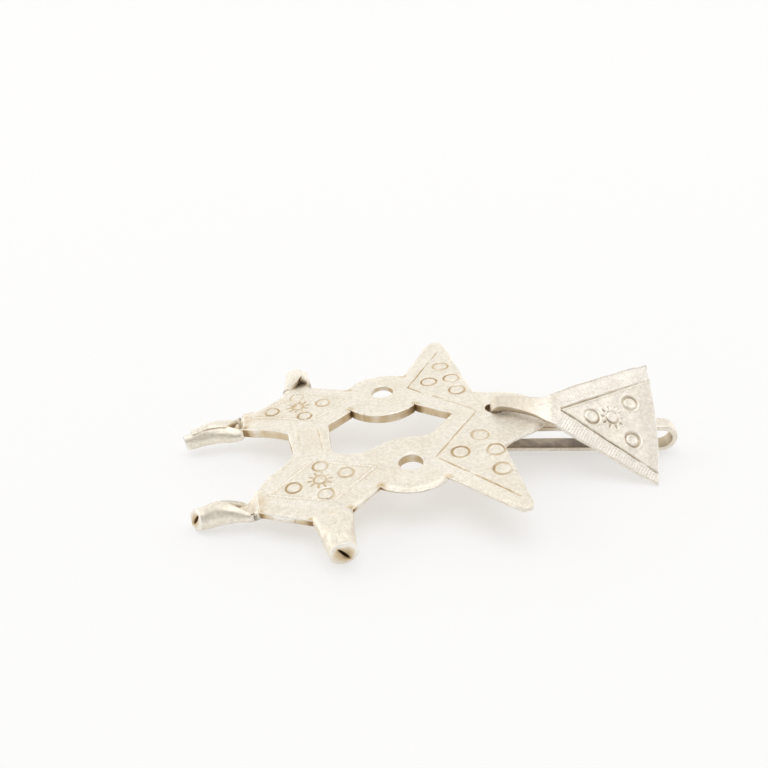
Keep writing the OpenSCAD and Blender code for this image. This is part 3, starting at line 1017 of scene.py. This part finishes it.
def shield_ornament(x, y, engraving):
    """Gap to the shield's grooves, run along its two borders and share of hatching outside
    them."""
    groove = np.full(np.shape(x), NO_GROOVE)
    for centre in ((-2.5, -0.25), (2.25, 2.15), (2.1, -2.5)):
        groove = np.minimum(groove, ring_gap(x, y, centre, mm(engraving.ring) * 0.9))
    groove = np.minimum(groove, rosette_gap(x, y, (-0.05, 0.0), mm(engraving.ring) * 0.78))
    far_gap, far_run, far_left = segment_gap(x, y, (-6.05, 0.2), (5.3, 5.88))
    near_gap, near_run, near_left = segment_gap(x, y, (-6.05, -0.05), (4.75, -6.26))
    groove = np.minimum(groove, np.minimum(far_gap, near_gap))
    far = far_left > -near_left
    run = np.where(far, far_run, near_run)
    left = np.where(far, far_left, -near_left)
    hatch = smooth(left / 0.1 - 0.8) * smooth((run - 0.1) / 0.8)
    return {"groove": groove + worn_lines(x, y), "run": run, "hatch": hatch}


def hook_place(local):
    """Places of the ear wire's own frame, X along its legs and Z up, in the jewel's frame. The
    leaning square wire of the solids stands on its lower corner, which gives the height."""
    x, y, z = np.moveaxis(local, -1, 0)
    y, z = turned(y, z, HOOK_LEAN)
    x, y = turned(x, y, HOOK_TURN)
    lean = math.radians(HOOK_LEAN)
    rise = WIRE_SIDE / 2.0 * (math.cos(lean) + math.sin(lean))
    return in_jewel(x + LINK_PLACE[0], y + LINK_PLACE[1], z + rise)


def shield_place(local):
    """Places of the shield's own frame, X from its neck to its base and Z up, in the jewel's."""
    x, y, z = np.moveaxis(local, -1, 0)
    y, z = turned(y, z, SHIELD_TURN[0])
    z, x = turned(z, x, SHIELD_TURN[1])
    x, y = turned(x, y, SHIELD_TURN[2])
    return in_jewel(x + SHIELD_PLACE[0], y + SHIELD_PLACE[1], z + SHIELD_PLACE[2])


def wire_path(hook):
    """The ear wire's middle line in its own frame, its directions, and its section's width and
    height there: back leg, outer bend, front leg and the riser, which ends inside the strap's
    foot."""
    top_leg, riser_top, riser_bend, foot_width = 2.8, 4.75, 0.95, 1.24
    low_leg = top_leg - mm(hook.leg_gap)
    loop = mm(hook.leg_gap) / 2.0
    bend_x = mm(hook.bend) - loop - mm(hook.wire_thick) / 2.0

    def straight(a, b, count):
        return np.linspace(a, b, count, endpoint=False)

    def curve(cx, cz, radius, first, last, count):
        angle = np.radians(np.linspace(first, last, count, endpoint=False))
        return np.stack([cx + radius * np.cos(angle), cz + radius * np.sin(angle)], 1)

    line = np.concatenate([
        straight((-mm(hook.tail), low_leg), (bend_x, low_leg), 110),
        curve(bend_x, low_leg + loop, loop, -90.0, 90.0, 34),
        straight((bend_x, top_leg), (riser_bend, top_leg), 80),
        curve(riser_bend, top_leg + riser_bend, riser_bend, 270.0, 180.0, 12),
        np.linspace((0.0, top_leg + riser_bend), (0.0, riser_top), 8),
    ])
    way = np.gradient(line, axis=0)
    way /= np.linalg.norm(way, axis=1)[:, None]
    last = smooth((np.arange(len(line)) - (len(line) - 40)) / 30.0)
    width = mix(mm(hook.wire), foot_width, last)
    return line, way, width, mix(mm(hook.wire_thick), mm(hook.strap) * 0.95, last)


def ear_wire(hook):
    """The flat wire as a squarish superellipse carried along its path, its faces a little
    uneven. Its inner faces, between the legs, and the front leg by the riser are painted darker: painted
    shade, over a thin film on all of it."""
    line, way, width, height = wire_path(hook)
    count, sides = len(line), 48
    a = np.linspace(0.0, 2.0 * math.pi, sides, endpoint=False)
    power = 2.0 / 6.0
    v = np.sign(np.cos(a)) * np.abs(np.cos(a)) ** power
    w = np.sign(np.sin(a)) * np.abs(np.sin(a)) ** power
    uneven = 1.0 + 0.03 * waves(line[:, :1], line[:, 1:] * 3.0, a[None] * 0.5, 5.0, 61)
    shrink = np.ones(count)
    shrink[:3] = [0.55, 0.86, 0.97]
    shrink[-1] = 0.8
    across = v[None] * (width * shrink)[:, None] / 2.0 * uneven
    out = w[None] * (height * shrink)[:, None] / 2.0 * uneven
    x = line[:, :1] - out * way[:, 1:]
    z = line[:, 1:] + out * way[:, :1]
    x[0] -= 0.1
    places = hook_place(np.stack([x, across, z], -1)).reshape(-1, 3)
    # painted shade: the inner faces, which face the other leg, are darkened, more so away from the bend
    inner = smooth((w - 0.75) / 0.2)[None]
    leg = mix(0.35, 0.72, smooth((mm(hook.bend) - 2.5 - line[:, 0]) / 2.0))[:, None]
    # painted shade: the front leg near the riser, under the plate's tongue, is darkened
    front_leg_shade = smooth((line[:, 1] - 1.8) / 0.5) * smooth((9.0 - line[:, 0]) / 4.0)
    corner = np.abs(np.abs(np.cos(a)) - np.abs(np.sin(a)))
    tarnish = np.clip(0.12 + 0.4 * front_leg_shade[:, None] + inner * leg, 0.0, 1.0).ravel()
    edge = np.tile(0.12 + corner * 0.6, count)
    return places, tube_faces(count, sides), plain_attributes(len(places), edge, tarnish)


class Nodes:
    """Adds nodes to a tree in short lines, each linked to values or to other nodes' sockets."""

    def __init__(self, tree):
        self.tree = tree
        self.column = 0

    def add(self, kind, inputs=None, **settings):
        """A node of a kind, with its settings set and its inputs linked or given a value."""
        node = self.tree.nodes.new(kind)
        self.column += 1
        node.location = (180.0 * (self.column % 12), -220.0 * (self.column // 12))
        for key, value in settings.items():
            setattr(node, key, value)
        for key, value in (inputs or {}).items():
            socket = node.inputs[key]
            if isinstance(value, bpy.types.NodeSocket):
                self.tree.links.new(value, socket)
            else:
                socket.default_value = value
        return node

    def math(self, operation, a, b=0.0, clamp=False):
        """The result of a Math node."""
        node = self.add("ShaderNodeMath", {0: a, 1: b}, operation=operation, use_clamp=clamp)
        return node.outputs[0]

    def times(self, a, b):
        """The product of two values."""
        return self.math("MULTIPLY", a, b)

    def larger(self, a, b):
        """The larger of two values."""
        return self.math("MAXIMUM", a, b)

    def span(self, value, low, high, to_low=0.0, to_high=1.0):
        """A value mapped from one span to another with a soft start and end."""
        node = self.add(
            "ShaderNodeMapRange",
            {"Value": value, "From Min": low, "From Max": high, "To Min": to_low, "To Max": to_high},
            interpolation_type="SMOOTHSTEP",
        )
        return node.outputs["Result"]

    def colour(self, share, a, b):
        """Two colours mixed by a share."""
        return self.add("ShaderNodeMix", {0: share, 6: a, 7: b}, data_type="RGBA").outputs[2]

    def noise(self, place, scale, detail, rough=0.55):
        """The value of a noise at a place."""
        node = self.add(
            "ShaderNodeTexNoise", {"Vector": place, "Scale": scale, "Detail": detail, "Roughness": rough}
        )
        return node.outputs["Fac"]


def empty_nodes(holder):
    """A helper that adds nodes to the emptied tree of a material or a world."""
    holder.use_nodes = True
    holder.node_tree.nodes.clear()
    return Nodes(holder.node_tree)


def new_group(name, inputs, outputs):
    """An empty shader node group: a place and float inputs with their values, and float
    outputs. Returns its tree, a helper that adds nodes, and the sockets at both ends."""
    tree = bpy.data.node_groups.new(name, "ShaderNodeTree")
    tree.interface.new_socket(name="Place", in_out="INPUT", socket_type="NodeSocketVector")
    for label, value in inputs.items():
        socket = tree.interface.new_socket(name=label, in_out="INPUT", socket_type="NodeSocketFloat")
        socket.default_value = value
    for label in outputs:
        tree.interface.new_socket(name=label, in_out="OUTPUT", socket_type="NodeSocketFloat")
    nodes = Nodes(tree)
    given = nodes.add("NodeGroupInput").outputs
    result = nodes.add("NodeGroupOutput").inputs
    return tree, nodes, given, result


def engraving_group():
    """Crisp grooves, beads and hatching from the distances that the mesh carries: a height to
    press in, a share of dirt that lies in it, and its rubbed crests, with painted highlights on the bead
    dots."""
    inputs = {
        "Groove": NO_GROOVE, "Beads": NO_GROOVE, "Run": 0.0, "Hatch": 0.0, "Width": 0.12, "Pitch": 0.36,
        "Crests": 0.4,
    }
    tree, nodes, given, result = new_group("engraved_ornament", inputs, ("Height", "Dirt", "Crest"))
    patch = nodes.noise(given["Place"], 900.0, 2.0)
    worn = nodes.span(nodes.noise(given["Place"], 260.0, 2.0), 0.32, 0.62)
    width = nodes.times(given["Width"], nodes.span(patch, 0.3, 0.7, 0.75, 1.25))
    groove = nodes.span(nodes.math("DIVIDE", given["Groove"], width), 0.1, 1.5, 1.0, 0.0)

    dots = nodes.math("COSINE", nodes.times(given["Run"], 2.0 * math.pi / BEAD_PITCH))
    dots = nodes.span(dots, -0.6, 0.6, 0.12, 1.0)
    beads = nodes.math("DIVIDE", given["Beads"], width)
    flank = nodes.times(nodes.span(beads, 2.6, 3.6, 1.0, 0.0), nodes.span(beads, 0.9, 1.6))
    beads = nodes.times(nodes.span(beads, 0.4, 1.4, 1.0, 0.0), dots)

    shift = nodes.times(nodes.noise(given["Place"], 1500.0, 1.0), 0.16)
    turns = nodes.math("DIVIDE", nodes.math("ADD", given["Run"], shift), given["Pitch"])
    stroke = nodes.math("COSINE", nodes.times(turns, 2.0 * math.pi))
    stroke = nodes.times(nodes.span(stroke, -0.1, 0.95), given["Hatch"])
    stroke = nodes.times(stroke, nodes.span(patch, 0.3, 0.55, 0.35, 1.0))

    deep = nodes.larger(groove, nodes.times(stroke, 0.32))
    tree.links.new(nodes.math("SUBTRACT", nodes.times(beads, 0.7), deep), result["Height"])
    crest = nodes.math("SUBTRACT", given["Hatch"], nodes.times(stroke, 1.3), clamp=True)
    crest = nodes.times(crest, given["Crests"])
    # painted highlight: the bead dots are brightened as the crests are
    tree.links.new(nodes.larger(crest, nodes.times(beads, 1.4)), result["Crest"])
    dirt = nodes.times(groove, nodes.math("ADD", nodes.times(worn, 0.45), 0.26))
    dirt = nodes.larger(dirt, nodes.times(flank, 0.2))
    tree.links.new(nodes.larger(dirt, nodes.times(stroke, 0.13)), result["Dirt"])
    return tree


def grain_group():
    """The satin of scrubbed silver: shallow dents, crossing scratches and a fine tooth as one
    height, a share of dull patches and a share of fine flecks."""
    inputs = {"Scratches": 1.0, "Dents": 1.0}
    tree, nodes, given, result = new_group("scrubbed_grain", inputs, ("Height", "Dull", "Fleck"))
    height = nodes.times(nodes.noise(given["Place"], 620.0, 2.0), given["Dents"])
    for angle, offset in ((0.5, 0.0), (-0.9, 3.0), (1.7, 7.0)):
        turn = nodes.add("ShaderNodeMapping", {
            "Vector": given["Place"], "Location": (offset, 0.0, 0.0), "Rotation": (0.0, 0.0, angle),
            "Scale": (0.05, 1.0, 1.0),
        })
        line = nodes.span(nodes.noise(turn.outputs["Vector"], 5200.0, 2.0), 0.58, 0.74)
        line = nodes.times(line, given["Scratches"])
        height = nodes.math("SUBTRACT", height, nodes.times(line, 0.22))
    tooth = nodes.times(nodes.noise(given["Place"], 4200.0, 3.0), 0.35)
    dull = nodes.span(nodes.noise(given["Place"], 420.0, 4.0), 0.35, 0.65)
    fleck = nodes.span(nodes.noise(given["Place"], 2500.0, 3.0, 0.7), 0.36, 0.64)
    tree.links.new(nodes.math("ADD", height, tooth), result["Height"])
    tree.links.new(dull, result["Dull"])
    tree.links.new(fleck, result["Fleck"])
    return tree


def tarnish_and_shade_group():
    """Brown film and painted shade: what the mesh says lies in corners and shaded places, broken up
    by noise, with the dirt of the engraving on top and faint clouds on open metal."""
    inputs = {"Corners": 0.0, "Dirt": 0.0, "Clouds": 0.1, "Breaks": 0.6}
    tree, nodes, given, result = new_group("silver_tarnish_and_shade", inputs, ("Share",))
    broken = nodes.span(nodes.noise(given["Place"], 520.0, 4.0, 0.65), 0.3, 0.66, -0.5, 0.25)
    broken = nodes.math("ADD", nodes.times(broken, given["Breaks"]), 1.0)
    share = nodes.larger(nodes.times(given["Corners"], broken), given["Dirt"])
    cloud = nodes.span(nodes.noise(given["Place"], 190.0, 4.0, 0.6), 0.42, 0.75)
    share = nodes.math("ADD", share, nodes.times(cloud, given["Clouds"]), clamp=True)
    tree.links.new(share, result["Share"])
    return tree


def wear_group():
    """Bright rubbed metal along the edges, from the distance to the edge and a noise."""
    inputs = {"Edge": 2.0, "Reach": 0.25}
    tree, nodes, given, result = new_group("rubbed_edge", inputs, ("Share",))
    near = nodes.span(nodes.math("DIVIDE", given["Edge"], given["Reach"]), 0.1, 1.0, 1.0, 0.0)
    uneven = nodes.span(nodes.noise(given["Place"], 600.0, 3.0), 0.35, 0.65, 0.3, 1.0)
    tree.links.new(nodes.times(near, uneven), result["Share"])
    return tree


def silver_material(scene, name, colours, clouds, crests):
    """Satin silver: base colour browned by film and by painted shade, brightened at rubbed edges and
    by painted highlights on the bead dots, roughness from dull patches and film, and a bump for
    the engraving and one for the grain. The colours are those of the metal, of a thin film and of
    a thick one; the films also colour the painted shade."""
    made = bpy.data.materials.get(name)
    if made:
        return made
    made = bpy.data.materials.new(name)
    nodes = empty_nodes(made)
    place = nodes.add("ShaderNodeTexCoord").outputs["Object"]
    silver, engraving = scene.earring_silver, scene.earring_engraving
    metal, thin_film_and_shade, thick_film_and_shade = (tuple(colour) for colour in colours)

    def carried(key):
        return nodes.add("ShaderNodeAttribute", attribute_name=key).outputs["Fac"]

    def group_node(key, make, inputs):
        group = bpy.data.node_groups.get(key) or make()
        return nodes.add("ShaderNodeGroup", {**inputs, "Place": place}, node_tree=group).outputs

    def toned(red, green, blue):
        return (metal[0] * red, metal[1] * green, metal[2] * blue, 1.0)

    cut = group_node("engraved_ornament", engraving_group, {
        "Groove": carried("groove"), "Beads": carried("beads"), "Run": carried("run"),
        "Hatch": carried("hatch"), "Width": mm(engraving.width) * 0.45, "Pitch": mm(engraving.pitch),
        "Crests": crests,
    })
    grain = group_node("scrubbed_grain", grain_group, {"Scratches": 1.0, "Dents": 0.7})
    # the share holds brown film and the painted shade that the mesh carries
    film = group_node("silver_tarnish_and_shade", tarnish_and_shade_group, {
        "Corners": carried("tarnish"), "Dirt": cut["Dirt"], "Clouds": clouds, "Breaks": 1.0 - crests,
    })
    wear = group_node("rubbed_edge", wear_group, {"Edge": carried("edge"), "Reach": 0.22})

    dull = toned(0.9, 0.88, 0.84)
    clean = nodes.colour(nodes.times(grain["Dull"], 0.25), toned(1.0, 1.0, 1.0), dull)
    clean = nodes.colour(nodes.times(grain["Fleck"], 0.45), clean, toned(0.7, 0.67, 0.62))
    # rubbed edges and crests, and the painted highlights on the bead dots, brighten the metal
    rubbed_and_highlit = nodes.larger(wear["Share"], cut["Crest"])
    clean = nodes.colour(nodes.times(rubbed_and_highlit, 0.8), clean, (1.0, 0.985, 0.95, 1.0))
    filmed = nodes.colour(nodes.span(film["Share"], 0.0, 0.5), clean, (*thin_film_and_shade, 1.0))
    filmed = nodes.colour(nodes.span(film["Share"], 0.4, 1.0), filmed, (*thick_film_and_shade, 1.0))

    rough = nodes.math("ADD", nodes.times(grain["Dull"], 0.1), silver.roughness)
    rough = nodes.math("ADD", rough, nodes.times(film["Share"], 0.16))
    rough = nodes.math("SUBTRACT", rough, nodes.times(wear["Share"], 0.1), clamp=True)
    engraved = nodes.add("ShaderNodeBump", {"Strength": 0.8, "Distance": 0.00006, "Height": cut["Height"]})
    worked = nodes.add("ShaderNodeBump", {
        "Strength": 1.0, "Distance": 0.00005, "Height": grain["Height"],
        "Normal": engraved.outputs["Normal"],
    })
    shader = nodes.add("ShaderNodeBsdfPrincipled", {
        "Base Color": filmed, "Roughness": rough, "Metallic": 1.0, "Normal": worked.outputs["Normal"],
    })
    nodes.add("ShaderNodeOutputMaterial", {"Surface": shader.outputs["BSDF"]})
    return made


def plate_silver(scene):
    """The plate's warm silver."""
    silver = scene.earring_silver
    colours = (silver.plate, silver.light_tarnish_and_shade, silver.tarnish)
    return silver_material(scene, "warm_silver", colours, 0.1, 0.35)


def hook_silver(scene):
    """The hook's whiter silver with its grey-brown film."""
    silver = scene.earring_silver
    colours = (silver.hook, silver.dull_film_and_shade, silver.grey_tarnish_and_shade)
    return silver_material(scene, "white_silver", colours, 0.06, 0.55)


class EARRING_OT_plate(bpy.types.Operator):
    """Builds the openwork plate with its engraving"""

    bl_idname = "earring.plate"
    bl_label = "Build plate"

    def execute(self, context):
        scene = context.scene
        surface = plate_surface(scene.earring_plate, scene.earring_engraving)
        make_piece("cross_plate", *surface, plate_silver(scene), "cross_pendant")
        return {"FINISHED"}


class EARRING_OT_rolled_ends(bpy.types.Operator):
    """Builds the four rolled ends of the plate's tabs"""

    bl_idname = "earring.rolled_ends"
    bl_label = "Build rolled ends"

    def execute(self, context):
        rolls = context.scene.earring_rolls
        first_seed = 70
        for seed, (name, end) in enumerate(ROLLED_ENDS.items(), first_seed):
            radius = mm(getattr(rolls, end["radius"]))
            # the share that comes back holds brown film and painted shade inside the curl
            along, v, w, dirt, s = rolled_end(end, radius, mm(rolls.sheet), seed)
            places = roll_places(end, along, v, w)
            rows, columns = along.shape
            caps = [strip_cap(0, columns, True), strip_cap(rows - 1, columns, False)]
            faces = [grid_faces(rows, columns), *caps]
            edge = np.clip(np.repeat(end["length"] - s, columns) * 0.5, 0.0, 2.0) + 0.05
            attributes = plain_attributes(len(places), edge, np.clip(dirt, 0.0, 1.0).ravel())
            make_piece(name, places, faces, attributes, plate_silver(context.scene), "cross_pendant")
        return {"FINISHED"}


class EARRING_OT_ear_wire(bpy.types.Operator):
    """Builds the bent flat wire that goes through the ear"""

    bl_idname = "earring.ear_wire"
    bl_label = "Build ear wire"

    def execute(self, context):
        scene = context.scene
        make_piece("ear_wire", *ear_wire(scene.earring_hook), hook_silver(scene), "ear_hook")
        return {"FINISHED"}


class EARRING_OT_shield(bpy.types.Operator):
    """Builds the strap over the tongue and the triangular shield"""

    bl_idname = "earring.shield"
    bl_label = "Build strap and shield"

    def execute(self, context):
        scene = context.scene
        surface = strap_and_shield(scene.earring_hook, scene.earring_engraving)
        make_piece("strap_shield", *surface, hook_silver(scene), "ear_hook")
        return {"FINISHED"}


def studio_world(scene, stage):
    """A white room: brighter overhead than at the horizon, and dim behind the camera."""
    world = bpy.data.worlds.new("studio_room")
    nodes = empty_nodes(world)
    way = nodes.add("ShaderNodeTexCoord").outputs["Generated"]
    parts = nodes.add("ShaderNodeSeparateXYZ", {"Vector": way}).outputs
    around = nodes.span(parts["Y"], -0.95, 0.25, stage.room_dim, 1.0)
    height = nodes.span(parts["Z"], 0.3, 0.66, 1.4, 0.75)
    patch = nodes.span(nodes.noise(way, 2.4, 1.0), 0.35, 0.65, 0.86, 1.1)
    strength = nodes.times(nodes.times(around, height), patch)
    tint = nodes.colour(nodes.span(parts["Y"], -0.8, 0.3), (1.0, 0.96, 0.91, 1.0), (1.0, 1.0, 0.995, 1.0))
    light = nodes.add("ShaderNodeBackground", {"Color": tint, "Strength": strength})
    nodes.add("ShaderNodeOutputWorld", {"Surface": light.outputs["Background"]})
    scene.world = world


def soft_light(name, place, size, power, colour=(1.0, 1.0, 1.0)):
    """A square softbox at a place, turned to the jewel."""
    lamp = bpy.data.lights.new(name, "AREA")
    lamp.shape = "SQUARE"
    lamp.size = size
    lamp.energy = power
    lamp.color = colour
    holder = linked_object(name, lamp)
    holder.location = place
    holder.rotation_euler = (-Vector(place)).to_track_quat("-Z", "Y").to_euler()


def stage_camera(scene, stage):
    """The camera at its eye, turned from the Y axis, pitched down and tilted."""
    turn, pitch, roll = stage.turn, stage.pitch, stage.roll
    flat = math.cos(pitch)
    forward = Vector((math.sin(turn) * flat, math.cos(turn) * flat, -math.sin(pitch)))
    level = forward.cross(Vector((0.0, 0.0, 1.0))).normalized()
    above = level.cross(forward)
    right = level * math.cos(roll) - above * math.sin(roll)
    up = above * math.cos(roll) + level * math.sin(roll)
    lens = bpy.data.cameras.new("camera")
    lens.sensor_width = 36.0
    lens.lens = stage.lens
    lens.clip_start = 0.002
    lens.clip_end = 20.0
    facing = Matrix((right, up, -forward)).transposed().to_4x4()
    camera = linked_object("camera", lens)
    camera.matrix_world = Matrix.Translation(stage.eye) @ facing
    scene.camera = camera


def milky_floor(stage):
    """The floor under the jewel: a large milky sheet that sends up a little light itself."""
    milky = bpy.data.materials.new("white_card")
    nodes = empty_nodes(milky)
    shader = nodes.add("ShaderNodeBsdfPrincipled", {
        "Base Color": (*stage.floor, 1.0), "Roughness": 0.8, "Specular IOR Level": 0.1,
        "Emission Color": (1.0, 1.0, 1.0, 1.0), "Emission Strength": stage.glow,
    })
    nodes.add("ShaderNodeOutputMaterial", {"Surface": shader.outputs["BSDF"]})
    mesh = bpy.data.meshes.new("floor")
    reach = 4.0
    corners = [(-reach, -reach, 0.0), (reach, -reach, 0.0), (reach, reach, 0.0), (-reach, reach, 0.0)]
    mesh.from_pydata(corners, [], [(0, 1, 2, 3)])
    mesh.materials.append(milky)
    linked_object("floor", mesh)


class EARRING_OT_stage(bpy.types.Operator):
    """Sets the camera, the white floor and the soft light"""

    bl_idname = "earring.stage"
    bl_label = "Set stage"

    def execute(self, context):
        scene, stage = context.scene, context.scene.earring_stage
        stage_camera(scene, stage)
        milky_floor(stage)
        studio_world(scene, stage)
        soft_light("overhead_softbox", (0.2, -0.1, 2.2), 2.4, stage.key)
        soft_light("left_softbox", (-1.0, 0.5, 0.7), 0.5, stage.key * 0.05, (1.0, 0.98, 0.95))
        scene.view_settings.view_transform = "Standard"
        return {"FINISHED"}


class EARRING_PT_panel(bpy.types.Panel):
    """Lists the earring's operators and sizes"""

    bl_idname = "EARRING_PT_panel"
    bl_label = "Cross earring"
    bl_space_type = "VIEW_3D"
    bl_region_type = "UI"
    bl_category = "Earring"

    def draw(self, context):
        for group, steps in PANEL_ROWS:
            box = self.layout.box()
            settings = getattr(context.scene, group)
            for key in settings.bl_rna.properties.keys():
                if key not in ("rna_type", "name"):
                    box.prop(settings, key)
            for step in steps:
                box.operator(step)


PANEL_ROWS = [
    ("earring_plate", ["earring.plate"]),
    ("earring_engraving", []),
    ("earring_rolls", ["earring.rolled_ends"]),
    ("earring_hook", ["earring.ear_wire", "earring.shield"]),
    ("earring_silver", []),
    ("earring_stage", ["earring.stage"]),
]
SETTINGS = {
    "earring_plate": PlateSettings,
    "earring_engraving": EngravingSettings,
    "earring_rolls": RolledEndSettings,
    "earring_hook": HookSettings,
    "earring_silver": SilverSettings,
    "earring_stage": StageSettings,
}
OPERATORS = [
    EARRING_OT_plate,
    EARRING_OT_rolled_ends,
    EARRING_OT_ear_wire,
    EARRING_OT_shield,
    EARRING_OT_stage,
]


def register():
    """Adds the settings, operators and panel to Blender."""
    for made in [*SETTINGS.values(), *OPERATORS, EARRING_PT_panel]:
        bpy.utils.register_class(made)
    for key, group in SETTINGS.items():
        setattr(bpy.types.Scene, key, bpy.props.PointerProperty(type=group))


def unregister():
    """Takes them out again."""
    for key in SETTINGS:
        delattr(bpy.types.Scene, key)
    for made in reversed([*SETTINGS.values(), *OPERATORS, EARRING_PT_panel]):
        bpy.utils.unregister_class(made)


def main():
    """Registers everything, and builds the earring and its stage."""
    register()
    bpy.ops.earring.plate()
    bpy.ops.earring.rolled_ends()
    bpy.ops.earring.ear_wire()
    bpy.ops.earring.shield()
    bpy.ops.earring.stage()


if __name__ == "__main__":
    main()
